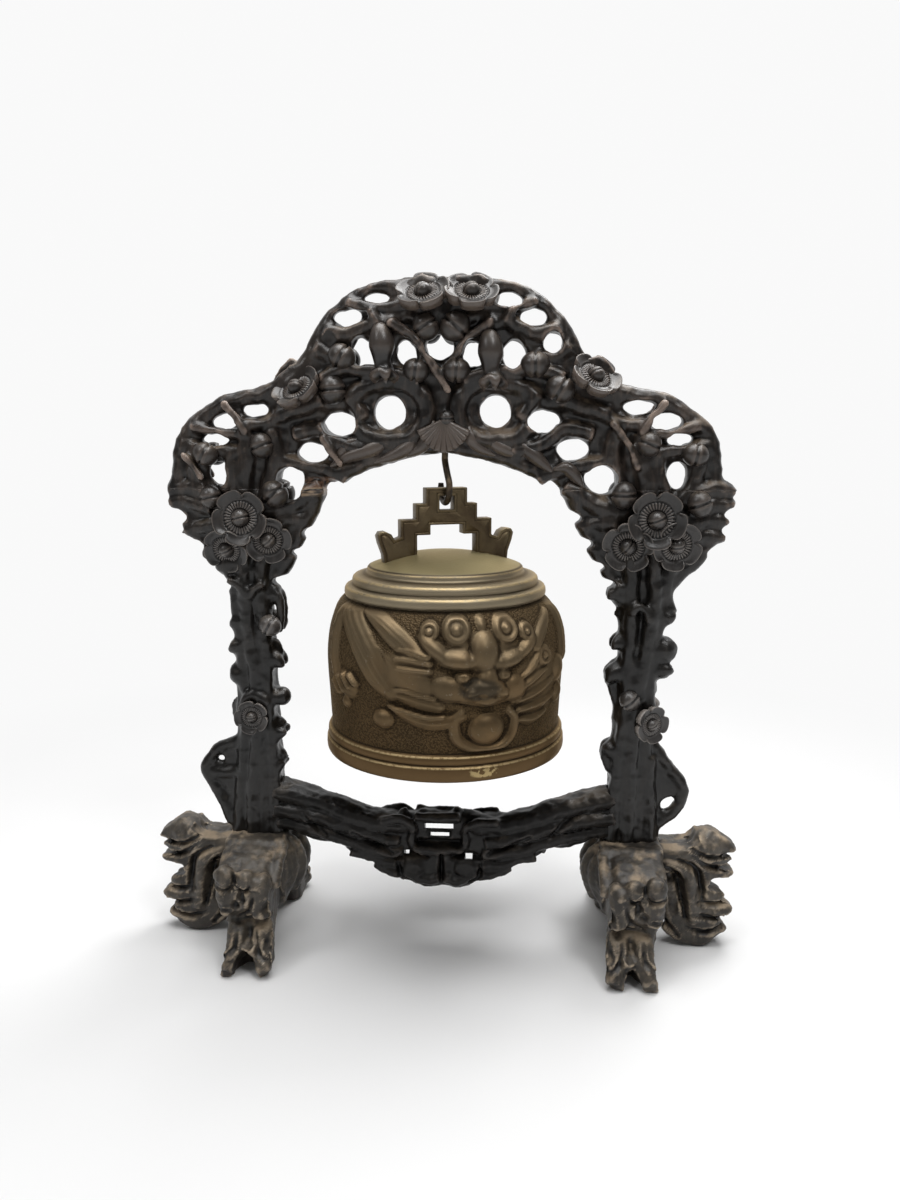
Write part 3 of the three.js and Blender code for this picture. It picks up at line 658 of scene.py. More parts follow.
def blossom(whole, place, radius):
    """A plum blossom: five dished petals that overlap, round a fluted ring of stamens and a slit boss."""
    profile = [(share, 0) for share in BLOSSOM_FACE] + BLOSSOM_BACK
    profile = [(radius * share, radius * depth) for share, depth in profile]
    shape = spun(profile, 4 * BLOSSOM_FLUTES, merge=0.001)
    for vert in shape.verts:
        away = math.hypot(vert.co.x, vert.co.y) / radius
        turn = math.atan2(vert.co.y, vert.co.x) / math.tau + 0.001
        across = (turn * 5) % 1 - 0.5
        off_petal = abs(across) * 2
        if away > NOTCH_START:
            notch = 1 - 0.24 * off_petal**5 * min((away - NOTCH_START) / 0.25, 1)
            vert.co.x *= notch
            vert.co.y *= notch
        if vert.co.z < -0.01:
            continue
        if away > PETAL_START:
            rise = (away - PETAL_START) / (1 - PETAL_START)
            dish = 0.10 + 0.20 * rise**2 - 0.07 * rise**8
            vert.co.z = radius * (dish + 0.10 * rise * across - 0.12 * rise * off_petal**8)
        elif away > STAMEN_START:
            ridge = (turn * BLOSSOM_FLUTES) % 1 < 0.55
            vert.co.z = radius * (0.10 if ridge and away < STAMEN_END else 0.0)
        else:
            vert.co.z = radius * 0.03
    bmesh.ops.transform(shape, matrix=place, verts=shape.verts)
    bud(shape, place @ Matrix.Translation((0, 0, radius * 0.1)), radius * 0.31)
    take_in(whole, shape)


def bud(shape, place, radius, long=1.0):
    """A round bud with a slit round it that runs up its face."""
    verts = ball(shape, Matrix.Identity(4), (radius, radius, radius), 24, 22)
    for vert in verts:
        if abs(vert.co.z) < 0.03 * radius:
            vert.co *= 0.78
    turn = Matrix.Rotation(math.pi / 2, 4, "X") @ Matrix.Diagonal((1, 1, long, 1))
    bmesh.ops.transform(shape, matrix=place @ turn, verts=verts)


def pod(whole, x, z):
    """A hanging flower cup that flares into five lobes."""
    shape = bmesh.new()
    cup = [(x - 3, -6, z + 15, 2.6), (x - 1, -9, z + 11, 6), (x, -10, z + 3, 7.6), (x, -10, z - 5, 5.2)]
    flare = [(x + 1, -10, z - 10, 5.6), (x + 1, -11, z - 14, 8), (x + 1, -11, z - 17, 4)]
    limb(shape, cup + flare, count=30, sides=20)
    for vert in shape.verts:
        low = max(z - 6 - vert.co.z, 0) / 9
        turn = math.atan2(vert.co.y + 11, vert.co.x - x - 1)
        vert.co.x += low * 1.8 * math.cos(turn) * math.cos(5 * turn)
        vert.co.z -= low * 1.5 * math.cos(5 * turn)
    take_in(whole, shape)


# Crest and posts

# Boughs of the crest on the +X side: radius at each end, depth, and points of x and z. The other side
# mirrors them.
CREST_BOUGHS = [
    (2.4, 5.5, -1, [(17, 416.5), (38, 415), (53, 408.5), (65, 398.5), (73, 387), (79, 375), (86, 365)]),
    (3.0, 3.2, -5, [(56, 406), (45, 403), (30, 403), (18, 405)]),
    (2.4, 2.4, -9, [(43, 402), (40, 397), (37, 393)]),
    (3.2, 3.2, -5, [(39, 395), (25, 397), (14, 396)]),
    (5.0, 4.2, -5, [(70, 389), (57, 387), (45, 391), (35, 393), (24, 391)]),
    (5.0, 5.0, -4, [(76, 380), (66, 374), (54, 371)]),
    (4.0, 4.0, -8, [(72, 361), (57, 367), (42, 366), (27, 364), (13, 360)]),
    (5.5, 5.5, -5, [(55, 350), (45, 357), (30, 360), (17, 357), (10, 348), (10, 337), (18, 328), (30, 325),
        (44, 327), (54, 335)]),
    (3.2, 3.2, -2, [(43, 343), (40, 351), (32, 354), (24, 351), (21, 343), (24, 334), (32, 331), (40, 334),
        (43, 343)]),
    (4.2, 4.2, -6, [(57, 353), (51, 345), (47, 338)]),
    (4.5, 4.5, -6, [(90, 329), (74, 332), (64, 325), (54, 321), (42, 319)]),
    (5.0, 5.0, -5, [(72, 349), (86, 344), (100, 340)]),
    (5.0, 5.0, -3, [(62, 306), (46, 312), (28, 318), (13, 321), (0, 323)]),
    (4.5, 4.5, -4, [(97, 312), (80, 310), (65, 306), (58, 302)]),
    (3.2, 3.2, -6, [(94, 342), (107, 335), (122, 335)]),
    (2.4, 2.2, -10, [(132, 348), (125, 340), (118, 329)]),
    (4.8, 5.5, -1, [(97, 357), (112, 352), (132, 348), (143, 341), (153, 334), (160, 324), (162, 313),
        (163, 302), (165, 292)]),
    (3.0, 3.0, -6, [(153, 334), (138, 330), (123, 329)]),
    (4.0, 4.2, -4, [(160, 322), (144, 320), (125, 318)]),
    (6.0, 6.5, -4, [(118, 329), (119, 316), (122, 302), (124, 290)]),
    (5.0, 5.5, -5, [(104, 331), (101, 319), (104, 304), (108, 290)]),
    (4.5, 4.5, -4, [(152, 322), (153, 308), (149, 296), (142, 288)]),
    (4.0, 4.0, -5, [(129, 318), (130, 306), (134, 294)]),
    (6.0, 6.5, -3, [(74, 298), (86, 291), (97, 285), (112, 282)]),
]
# Thin twigs over the face, each on its own side.
CREST_TWIGS = [
    (3.2, 2.2, -11, [(-31, 394), (-18, 386), (-9, 375), (5, 353)]),
    (3.2, 2.2, -10, [(30, 394), (18, 386), (8, 374), (0, 363)]),
    (2.2, 2.0, -11, [(100, 336), (110, 324), (117, 308)]),
    (2.2, 2.0, -11, [(-72, 328), (-66, 318), (-60, 310)]),
    (2.0, 2.0, -11, [(-158, 318), (-150, 308), (-146, 302)]),
]
# Leaf tips along the edges: x and z of the base and of the point, and the radius.
CREST_TIPS = [
    ((-24, 320), (-32, 311), 4), ((28, 320), (35, 311), 4), ((-46, 314), (-55, 307), 4),
    ((50, 314), (58, 307), 4), ((-10, 322), (-16, 316), 3.5), ((14, 322), (20, 316), 3.5),
    ((66, 306), (71, 298), 4), ((-64, 305), (-68, 299), 4), ((-112, 300), (-92, 312), 3.5),
    ((112, 302), (96, 313), 3.5),
]
# Leaf curls along the underside of the crest: radius, and points of x and z from the root to the tip.
CREST_FRONDS = [
    (4.4, [(-5, 337), (-7.5, 328), (-14, 320), (-27, 315)]),
    (4.6, [(-15, 329), (-21, 321), (-30, 316), (-43.5, 311.5)]),
    (5.0, [(-31, 327), (-41, 320.5), (-56, 316), (-69, 309)]),
    (3.6, [(-50, 326), (-57, 323), (-63, 317), (-68, 319)]),
    (4.4, [(14.5, 337), (17, 328), (22.5, 321), (34.5, 315.5)]),
    (4.6, [(26, 330), (33, 323), (42, 318.5), (55, 316.5)]),
    (4.6, [(44, 325), (53, 318.5), (60, 312), (68, 305)]),
    (4.2, [(67, 308), (75, 309), (81, 303), (85, 297.5)]),
]
# Blossoms: x, z, radius, and lean, side and spin in degrees. Buds: x, z, radius and spin.
CREST_BLOSSOMS = [
    (-10.5, 409.5, 16, 50, -8, 54), (17.5, 409.5, 16, 50, 8, 18), (-86, 355.5, 15.5, 42, -30, 20),
    (90, 362, 15.5, 42, 30, 5),
]
CREST_BUDS = [
    (-9, 391, 7.6, 30), (8, 391, 8.6, -40), (-59, 374, 7.6, 60), (55, 369, 7.8, 90), (-65, 355, 7.8, 5),
    (70, 355, 8, 60), (-15, 366, 7.2, 80), (9, 366, 7.4, 85), (-109, 322, 7, 20), (-144, 317, 7, 60),
    (123, 323, 7, -20), (3, 338, 4.6, 0), (150, 317, 7, 80),
]

# Ribs down each post, and the boughs of its head and of its side loop, like the boughs of the crest.
# The posts are unlike, and the lists of both are given as if on the +X side.
RIGHT_RIBS = [
    (4.4, 4.2, -6, [(113, 262), (115, 251), (116, 230), (116, 204), (115, 179), (115, 155), (112, 130),
        (110, 105), (109, 70)]),
    (4.4, 4.2, -7, [(128, 262), (129, 248), (130, 230), (127, 205), (123, 179), (121, 155), (119, 130),
        (119, 105), (118, 70)]),
    (4.2, 4.4, -4, [(141, 254), (136, 238), (133, 215), (129, 180), (129, 165), (128, 130), (126, 105),
        (125, 70)]),
    (3.8, 4.0, -5, [(131, 128), (132, 100), (133, 70)]),
    (3.6, 3.6, -1, [(128, 142), (137, 131), (146, 118), (153, 109), (154, 103), (152, 96), (146, 88),
        (139, 82), (131, 76)]),
    (3.4, 2.0, -3, [(110, 188), (104, 183), (104, 176)]),
    (2.2, 2.2, -2, [(104, 180), (107, 170), (109, 163)]),
    (3.0, 2.6, -3, [(110, 136), (104, 134), (103, 127), (106, 120), (110, 115)]),
    (2.6, 2.6, -11, [(115, 221), (119, 226), (124, 224), (128, 216)]),
    (4.5, 3.0, -5, [(110, 238), (105, 234), (104, 229)]),
    (5.0, 4.5, -1, [(77, 296), (83, 282), (90, 266), (98, 252), (107, 238), (110, 226)]),
    (5.0, 4.5, -1, [(170, 297), (168, 282), (163, 268), (155, 254), (146, 246), (139, 236), (137, 222)]),
]
LEFT_RIBS = [
    (4.4, 4.2, -7, [(122, 262), (124, 240), (122, 205), (119, 180), (117, 155), (120, 130), (123, 105),
        (125, 70)]),
    (4.4, 4.0, -6, [(110, 258), (114, 240), (112, 200), (112, 175), (111, 145), (110, 120), (109, 95),
        (109, 70)]),
    (4.4, 4.4, -4, [(136, 250), (131, 235), (128, 205), (127, 180), (126, 150), (129, 120), (132, 95),
        (135, 70)]),
    (3.6, 3.8, -6, [(117, 130), (116, 100), (117, 70)]),
    (3.6, 3.6, -1, [(128, 140), (135, 132), (143, 129), (149, 125), (154, 118), (156, 112), (150, 100),
        (145, 90), (140, 76)]),
    (4.2, 4.2, -1, [(155, 111), (146, 110), (135, 112)]),
    (2.6, 2.6, -10, [(128, 158), (124, 165), (117, 166), (111, 160)]),
    (3.2, 2.4, -4, [(109, 230), (103, 228), (102, 214), (104, 206)]),
    (2.4, 2.4, -11, [(133, 240), (126, 236), (121, 229)]),
    (2.4, 2.4, -11, [(111, 238), (117, 234), (121, 229)]),
    (5.0, 4.5, -1, [(76, 295), (83, 279), (91, 264), (98, 250), (106, 238), (108, 224)]),
    (5.0, 4.5, -1, [(166, 297), (164, 284), (157, 272), (148, 259), (140, 249), (132, 238), (130, 224)]),
]
RIGHT_TIPS = [
    ((168, 297), (178, 295), 4.5), ((168, 290), (177, 287), 4.5), ((165, 279), (174, 276), 4.5),
    ((163, 268), (173, 264), 4.5), ((150, 252), (156, 247), 4.5), ((136, 226), (145, 220), 4.5),
    ((88, 281), (83, 277), 4), ((97, 257), (91, 254), 4), ((105, 248), (98, 244), 4.5),
    ((110, 237), (102, 234), 4.5), ((112, 222), (106, 218), 4), ((129, 176), (135, 170), 4),
]
LEFT_TIPS = [
    ((162, 296), (172, 294), 4.5), ((162, 290), (171, 286), 4.5), ((155, 277), (161, 269), 4.5),
    ((145, 262), (151, 253), 4.5), ((138, 252), (142, 245), 4), ((128, 232), (134, 226), 4),
    ((127, 215), (136, 210), 4.5), ((126, 199), (136, 194), 4.5), ((86, 278), (80, 277), 4),
    ((101, 251), (96, 246), 4), ((109, 198), (102, 191), 4), ((110, 186), (103, 182), 4),
    ((110, 146), (101, 144), 4.5), ((110, 126), (101, 121), 4.5),
]
# Blossoms on the posts: x, z, radius, lean, side and spin, and how far each stands off the face.
RIGHT_BLOSSOMS = [
    (128, 279, 17.5, 0, 0, 20, 6), (112.5, 262.5, 15.5, -12, -12, 50, 1),
    (141, 263.5, 15.5, -12, 12, 10, 1), (130, 152, 12, 0, 30, 30, 3),
]
LEFT_BLOSSOMS = [
    (122, 279, 17, 4, 0, 12, 6), (107, 265, 14.5, -10, -12, 40, 1), (133, 259, 14.5, -18, 8, 20, 1),
    (121, 152, 11, 0, 0, 5, 3),
]
RIGHT_BUDS = [(109, 293, 7.6, 0), (154, 288, 7.4, 20), (117, 166, 6.4, 40)]
LEFT_BUDS = [(142, 291, 6.6, 10), (102, 293, 8, 40), (108, 211, 6.6, 60)]
# Plain buds on the edges of the posts: x, z and radius.
RIGHT_SIDE_BUDS = [(138, 197, 8.5), (136, 185, 7)]
LEFT_SIDE_BUDS = [(130, 178, 7.6), (104, 163, 6)]
# Leaf spurs on the edges of the posts: x, z and radius of the root, and x and z of the tip.
RIGHT_SPURS = [
    ((112, 229, 4.5), (102.5, 234.5)), ((112, 185, 5), (102.5, 177)), ((112, 205, 4), (105.5, 197)),
    ((112, 129, 4.5), (102, 133.5)), ((135, 216, 4.5), (144, 220)), ((135, 195, 5), (144.5, 198.5)),
    ((135, 186, 4), (144, 183)),
]
LEFT_SPURS = [
    ((124, 214.5, 4.5), (135, 209.5)), ((124, 199.5, 5), (136.5, 193)), ((122, 231.5, 4.5), (130, 226)),
    ((112, 191, 5), (101, 183.5)), ((113, 165.5, 4.5), (103.5, 160)), ((112, 136, 4.5), (100.5, 140)),
    ((112, 114, 4.5), (102, 118.5)), ((128, 252, 5), (141, 245)),
]
# Leaf folds that run out over each head from its blossoms to its edge, with their radius and depth.
FOLD = (6.5, 2.4, -4)
RIGHT_FOLDS = [
    [(150, 294), (164, 297), (176, 295)], [(148, 285), (162, 287), (176, 287)],
    [(146, 275), (160, 278), (173, 277)], [(142, 262), (156, 268), (171, 267)],
    [(138, 250), (146, 256), (156, 254)], [(106, 276), (96, 276), (85, 272)],
]
LEFT_FOLDS = [
    [(146, 294), (158, 297), (170, 295)], [(142, 284), (156, 288), (170, 287)],
    [(138, 274), (150, 272), (161, 269)], [(134, 262), (142, 258), (150, 254)],
    [(126, 250), (134, 249), (141, 246)], [(102, 276), (92, 278), (82, 277)],
]
# Openings through the crest and notches in the edge of each head between its leaf tips:
# x and z of the middle, half the width and half the height.
RIGHT_OPENINGS = [
    (-1.5, 380, 8, 7), (39.5, 406, 7.6, 4.2), (54, 396.5, 7.5, 4.8), (65.5, 382, 5.4, 6.2),
    (17, 376, 4.6, 7.2), (42, 375, 5.8, 8.2), (32, 342.5, 8.8, 9.2), (60, 336.5, 8.6, 6.2),
    (78.5, 320, 9.3, 6), (96, 302, 8.6, 8.4), (118, 345, 8.6, 3.7), (133.5, 336.5, 9, 4.8),
    (142, 326, 7, 3.6), (141, 304.5, 5.6, 8), (186, 291, 10, 3.5), (182, 281.5, 12, 3.5),
    (181, 271.5, 11.5, 4), (178, 258, 16, 6), (76, 279, 8.5, 4), (82, 263, 9.5, 4), (90, 249, 9.5, 3.5),
    (96, 238.5, 10, 3.5),
]
LEFT_OPENINGS = [
    (38.5, 408, 7.5, 3.1), (56.5, 397, 8, 4.2), (66.5, 384, 4.4, 5), (49, 377.5, 5.4, 8.2),
    (22, 377, 5, 7.2), (31.5, 342, 9.2, 9.4), (62, 334.5, 10, 6.5), (79, 317.5, 9.2, 5.6),
    (93.5, 299, 7.6, 10), (113.5, 343, 7, 3.4), (133, 336.5, 7.4, 4.6), (139, 325.5, 7.6, 4),
    (137.5, 305, 5.2, 6.8), (184, 278, 23, 7.5), (172, 260, 21, 6.5), (158, 248.5, 15, 3.5),
    (152, 236, 18, 7), (77, 268.5, 10, 4), (86, 256.5, 8.5, 3), (96, 238, 10.5, 4),
]
# The fan over the hook: its ribs, half its spread in degrees, its top, its length, and how much shorter its
# sides are.
FAN_RIBS = 11
FAN_SPREAD = 62
FAN_TOP = ARCH_TOP + 18
FAN_LENGTH = 19
FAN_SHORTENING = 2.5
# Swell of a leaf curl from its root to its tip, as shares of its radius.
FROND_SWELL = (0.3, 1, 0.8, 0.12)
# Hanging flower cups on the crest: x and z.
POD_PLACES = [(-35, 377), (29, 373)]


def hook_fan(shape):
    """The hanging petal over the hook: a fan of fine ribs."""
    for degrees in np.linspace(-FAN_SPREAD, FAN_SPREAD, FAN_RIBS):
        angle = math.radians(degrees)
        reach = FAN_LENGTH - FAN_SHORTENING * abs(math.sin(angle))
        end = (HOOK_X + reach * math.sin(angle), FAN_TOP - reach * math.cos(angle))
        middle = ((HOOK_X + end[0]) / 2, (FAN_TOP + end[1]) / 2)
        branches(shape, [(1.3, 2.3, -BOARD_HALF - 2, [(HOOK_X, FAN_TOP), middle, end])])


def frame_face(shape):
    """Everything on the front of the crest and posts that grows into their skin."""
    for side in (1, -1):
        branches(shape, CREST_BOUGHS, side)
    branches(shape, CREST_TWIGS)
    for side, ribs, folds in ((1, RIGHT_RIBS, RIGHT_FOLDS), (-1, LEFT_RIBS, LEFT_FOLDS)):
        branches(shape, ribs, side)
        branches(shape, [(*FOLD, line) for line in folds], side)


def post_spurs(shape):
    """Bent leaf spurs along both edges of the posts."""
    for side, spurs in ((1, RIGHT_SPURS), (-1, LEFT_SPURS)):
        for (x, z, radius), (tip_x, tip_z) in spurs:
            bend = ((x + tip_x) / 2, -5, (z + tip_z) / 2 + 1, radius)
            limbs(shape, [[(x, -3, z, radius), bend, (tip_x, -5, tip_z, 1.8)]], side, count=10)


def frame_edges(shape):
    """Leaf tips and side buds along the edges of the crest and posts."""
    tips(shape, CREST_TIPS)
    for side, leaves, buds in ((1, RIGHT_TIPS, RIGHT_SIDE_BUDS), (-1, LEFT_TIPS, LEFT_SIDE_BUDS)):
        tips(shape, leaves, side)
        for x, z, radius in buds:
            ball(shape, (side * x, -1, z), (radius, radius, radius))


def crest_ornament(shape):
    """The crisp blossoms, buds, pods and leaf curls on the face of the crest."""
    hook_fan(shape)
    for x, z, radius, lean, side, spin in CREST_BLOSSOMS:
        blossom(shape, facing(x, -BOARD_HALF - 2, z, lean, side, spin), radius)
    for x, z, radius, spin in CREST_BUDS:
        bud(shape, facing(x, -BOARD_HALF, z, spin=spin), radius, 1.12)
    for x, z in POD_PLACES:
        pod(shape, x, z)
    for radius, line in CREST_FRONDS:
        stations = [(x, -BOARD_HALF + 2.5, z, radius * swell) for (x, z), swell in zip(line, FROND_SWELL)]
        limb(shape, stations, count=14, sides=10)


def post_ornament(shape, blossoms, buds, side):
    """The crisp blossoms and buds on the face of a post."""
    for x, z, radius, lean, turn, spin, out in blossoms:
        blossom(shape, facing(side * x, -BOARD_HALF - out, z, lean, side * turn, spin), radius)
    for x, z, radius, spin in buds:
        bud(shape, facing(side * x, -BOARD_HALF, z, spin=spin), radius, 1.1)


def kept_side(shape, point, away):
    """A copy of a shape cut by a plane, without what lies on the away side, and closed again."""
    part = shape.copy()
    geometry = list(part.verts) + list(part.edges) + list(part.faces)
    bmesh.ops.bisect_plane(part, geom=geometry, dist=0.001, plane_co=point, plane_no=away, clear_outer=True)
    rim = [edge for edge in part.edges if edge.is_boundary]
    bmesh.ops.edgenet_fill(part, edges=rim)
    return part


def build_frame():
    """Carves the crest and posts as one skin and parts it at their joints.

    The boards are thinned first, because the carving brings them back to their thickness.
    """
    shape = cad_shape("crest", "left_post", "right_post")
    bmesh.ops.scale(shape, vec=(1, 0.5, 1), verts=shape.verts)
    shape = fused(shape, voxel=1.7, rounds=5)
    sides = ((1, RIGHT_OPENINGS), (-1, LEFT_OPENINGS))
    for side, openings in sides:
        rounded_off(shape, openings, side)
    take_in(shape, with_back(frame_face))
    take_in(shape, made_by(frame_edges))
    take_in(shape, with_back(post_spurs))
    shape = fused(shape, voxel=1.4, rounds=1)
    for side, openings in sides:
        cut_through(shape, openings, side, ease=1.09)
    shape = fused(shape, voxel=1.1, rounds=3)
    gouged(shape, size=9, depth=1.6)
    roughened(shape, size=4, depth=0.2, seed=8)
    seat = (0, 0, SEAT_Z)
    crest = kept_side(shape, seat, (0, 0, -1))
    piece("carved_crest", crest, FRAME_WOOD, "stand", ["crest"])
    below = kept_side(shape, seat, (0, 0, 1))
    shape.free()
    for side, name in ((-1, "left_post"), (1, "right_post")):
        post = kept_side(below, (0, 0, 0), (-side, 0, 0))
        piece("carved_" + name, post, FRAME_WOOD, "stand", [name])
    below.free()
    piece("crest_blossoms", with_back(crest_ornament), BLOSSOM_WOOD, "stand")
    flowers = with_back(post_ornament, RIGHT_BLOSSOMS, RIGHT_BUDS, 1)
    take_in(flowers, with_back(post_ornament, LEFT_BLOSSOMS, LEFT_BUDS, -1))
    piece("post_blossoms", flowers, BLOSSOM_WOOD, "stand")


# Stretcher

# Roots along the rail on the +X side, mirrored on the other, then the curls, lobes and tips that are not.
RAIL_ROOTS = [
    (6.0, 5.0, -5, [(110, 100), (90, 95), (72, 89), (50, 81), (30, 78), (20, 80)]),
    (5.0, 4.0, -7, [(110, 88), (85, 84), (62, 77), (44, 71), (28, 68)]),
    (4.0, 3.6, -6, [(108, 79), (80, 73), (62, 67), (44, 61), (26, 60)]),
    (3.6, 3.0, -6, [(60, 60), (46, 56), (34, 52), (20, 52)]),
    (3.6, 3.0, -6, [(44, 52), (32, 46), (18, 44)]),
]
RAIL_CURLS = [
    (2.6, 2.2, -9, [(-40, 82), (-28, 84.5), (-21, 81), (-18, 76)]),
    (2.6, 2.2, -9, [(36, 83), (25, 83), (17, 80), (14, 76)]),
    (2.4, 2.4, -7, [(-18, 76), (-20, 70), (-19, 63)]),
    (2.4, 2.4, -7, [(14, 76), (15, 70), (13, 63)]),
    (3.0, 3.0, -8, [(-19, 63), (-3, 62.5), (13, 63.5)]),
    (3.0, 3.0, -6, [(-18, 85), (-3, 84), (11, 85)]),
    (3.6, 3.0, -6, [(-17, 43), (-9, 40.5), (-3, 43)]),
    (3.6, 3.0, -6, [(2, 43), (9, 40.5), (18, 44)]),
]
# Lobes of the apron as x and z, and grooves as x, z, half width and depth.
RAIL_LOBES = [(-19.5, 50), (15.5, 51)]
RAIL_GROOVES = [
    [(-0.8, 60, 2, 5), (-0.8, 50, 2.4, 6), (-0.8, 42, 2, 5)],
    [(-15, 67.5, 2.6, 3), (-2, 67, 3, 3.5), (11, 67.5, 2.6, 3)],
    [(-30, 56, 2, 3), (-20, 60, 2.6, 5), (-10, 57, 2, 3)],
    [(6, 57, 2, 3), (15, 60, 2.6, 5), (25, 57, 2, 3)],
    [(-29, 52, 2, 3), (-27, 44, 2.2, 3.5), (-20, 40, 2, 3)],
    [(25, 53, 2, 3), (24, 45, 2.2, 3.5), (18, 41, 2, 3)],
    [(-58, 74, 2, 2), (-44, 66, 2.4, 3.5), (-33, 60, 2, 3)],
    [(56, 74, 2, 2), (42, 66, 2.4, 3.5), (30, 61, 2, 3)],
    [(-90, 86, 1.6, 1), (-84, 78, 2.2, 3), (-76, 72, 2, 2)],
    [(92, 92, 1.6, 1), (78, 84, 2.2, 3), (70, 74, 2, 2)],
]
# The sunk panel as a hollow: x, y, z and three half sizes.
RAIL_PANEL = (-2.4, -16, 73.5, 14, 13, 8)
# Slots through the rail: slope in degrees, length of the cut, and x, z, width and height of each.
SLOT_SLOPE = -24
SLOT_REACH = 60
RAIL_SLOTS = [(-2.4, 76, 19, 3), (-2, 70.3, 12.6, 2.4), (17, 55.3, 5, 4), (-23.8, 57.3, 3.4, 2.6)]
RAIL_TIPS = [
    ((-78, 70), (-76, 64), 4), ((-62, 66), (-61, 58), 4), ((-50, 60), (-48, 52), 4.5),
    ((-40, 54), (-38, 45), 4.5), ((-24, 46), (-27, 38), 4.5), ((-6, 42), (-8, 34), 4.5),
    ((10, 42), (12, 34), 4.5), ((26, 46), (31, 39), 4.5), ((38, 52), (43, 45), 4.5),
    ((48, 60), (52, 53), 4.5), ((64, 66), (66, 59), 4), ((80, 70), (78, 64), 4), ((-26, 82), (-24, 88), 4),
    ((10, 84), (8, 89), 4),
]


def rail_face(shape):
    """Everything on the front of the rail that grows into its skin."""
    for side in (1, -1):
        branches(shape, RAIL_ROOTS, side)
    branches(shape, RAIL_CURLS)
    for x, z in RAIL_LOBES:
        ball(shape, (x, -5, z), (8, 6, 8.5))


def build_stretcher():
    """Carves the rail, thinned first as the boards are."""
    shape = cad_shape("stretcher")
    bmesh.ops.scale(shape, vec=(1, 0.7, 1), verts=shape.verts)
    shape = fused(shape, voxel=1.3, rounds=2)
    take_in(shape, with_back(rail_face))
    tips(shape, RAIL_TIPS)
    shape = fused(shape, voxel=1.1, rounds=1)
    hollowed(shape, [RAIL_PANEL])
    engraved(shape, RAIL_GROOVES)
    gouged(shape, size=10, depth=2.0)
    roughened(shape, size=3.4, depth=0.3, seed=5)
    shape = slotted(shape, RAIL_SLOTS)
    piece("carved_stretcher", shape, POST_WOOD, "stand", ["stretcher"])


# Feet and outer roots

# Hollows cut in a foot and in an outer root on the +X side: x, y, z and three half sizes.
FOOT_HOLLOWS = [
    (116, -56, 32, 17, 13, 4.4), (120.5, -57, 49.5, 3, 8, 5.5), (124, -57, 44.5, 3.4, 8, 4.5),
    (119.5, -57, 36, 5, 8, 6), (118, -62, 54.5, 14, 9, 2.4), (143, -50, 16, 12.5, 24, 30),
    (97, -52, 38, 5, 14, 5), (117, -60, 21, 5, 8, 3.5),
]
# The fork between the toes is wider on the left foot.
FORK_HOLLOWS = {1: [(117.5, -62, -3, 5.5, 20, 17)], -1: [(118, -62, -3, 8.5, 20, 21)]}
# Grooves as x, z, half width and depth.
FOOT_GROOVES = [
    [(124.6, 66, 0.8, 0.6), (124, 61, 1.6, 3), (124.4, 56, 1.4, 2)],
    [(114, 58, 1.2, 1), (118, 54.5, 2, 3), (124, 58, 2, 3), (129, 55, 2.4, 4), (136, 57.5, 2, 2)],
    [(113, 51, 1.2, 1), (114.5, 45, 2, 3.4), (118, 38, 2.2, 3.4), (124, 34, 1.6, 2)],
    [(105, 48, 1.6, 1), (106, 40, 2.4, 3.5), (104, 34, 2, 2)],
    [(128, 41, 1.6, 1), (131, 41, 2.2, 3), (136, 40, 2, 2)],
    [(103, 28, 1.6, 1), (105, 20, 2.2, 3), (102, 10, 2, 2)],
    [(112, 27, 1.6, 1), (110, 17, 2.2, 3), (104, 12, 2, 2.4)],
    [(124, 27, 1.6, 1), (125, 18, 2.2, 3), (131, 13, 2, 2.4)],
]
ROOT_HOLLOWS = [
    (148, -13, 49, 7, 8, 5), (150, -14, 31, 6, 8, 12), (191, 0, 64, 9, 20, 2.4), (191, 0, 55, 9, 20, 2.4),
    (184, 0, 43, 15, 20, 5), (191, 0, 22, 9, 20, 3), (150, -12, 77, 14, 20, 8),
]
# Notches between the spikes of an outer root: x, z, half width and half height.
ROOT_NOTCHES = [
    (191, 64.3, 15, 2.4), (191, 56, 16, 2.4), (190, 46.4, 18, 3.6), (190, 31.8, 11, 1.6),
    (190, 20.5, 13, 3),
]
ROOT_GROOVES = [
    [(139, 60, 1.8, 1.5), (149, 54, 3, 5), (154, 40, 3.4, 6), (158, 22, 2.4, 3)],
    [(151, 63, 1.8, 1.5), (163, 55, 2.8, 4.5), (167, 42, 3, 5), (168, 30, 2, 2)],
    [(157, 72, 1.8, 1.5), (168, 65, 2.6, 4), (182, 64, 2.2, 4)],
    [(160, 66, 1.6, 1), (171, 57, 2.6, 4), (182, 55, 2.2, 4)],
    [(163, 33, 1.6, 1), (174, 31, 2.4, 4), (185, 31, 2, 4)],
    [(162, 25, 1.6, 1), (174, 21, 2.6, 4), (185, 22, 2, 4)],
    [(158, 15, 1.6, 1), (169, 11, 2.6, 4), (181, 14, 2, 4)],
    [(142, 36, 1.6, 1), (144, 20, 2.6, 4), (153, 8, 2, 2)],
]
# Carving on the front root of a foot: knuckles as x, y, z, half width and half height, lumps under them
# as x, y, z and size, and limbs as stations of x, y, z and radius.
FOOT_KNUCKLES = [(107.5, -49, 59, 4.4, 5.4), (118, -51, 61.5, 6, 5.6), (130.5, -52, 63.5, 6.8, 6.8)]
FOOT_LUMPS = [(132, -51, 49, 5), (130.5, -50, 41, 5.4), (109, -50.5, 38, 4.8), (115, -57, 18, 4.6)]
FOOT_RIDGE = [(106.5, -48, 58, 4.4), (108.5, -50, 51, 5), (110, -49, 43, 4.6), (106.5, -47, 34, 4)]
FOOT_PILLAR = [(119.5, -49, 57, 3.6), (117, -52, 49, 3.4), (113.5, -50, 41, 3.4)]
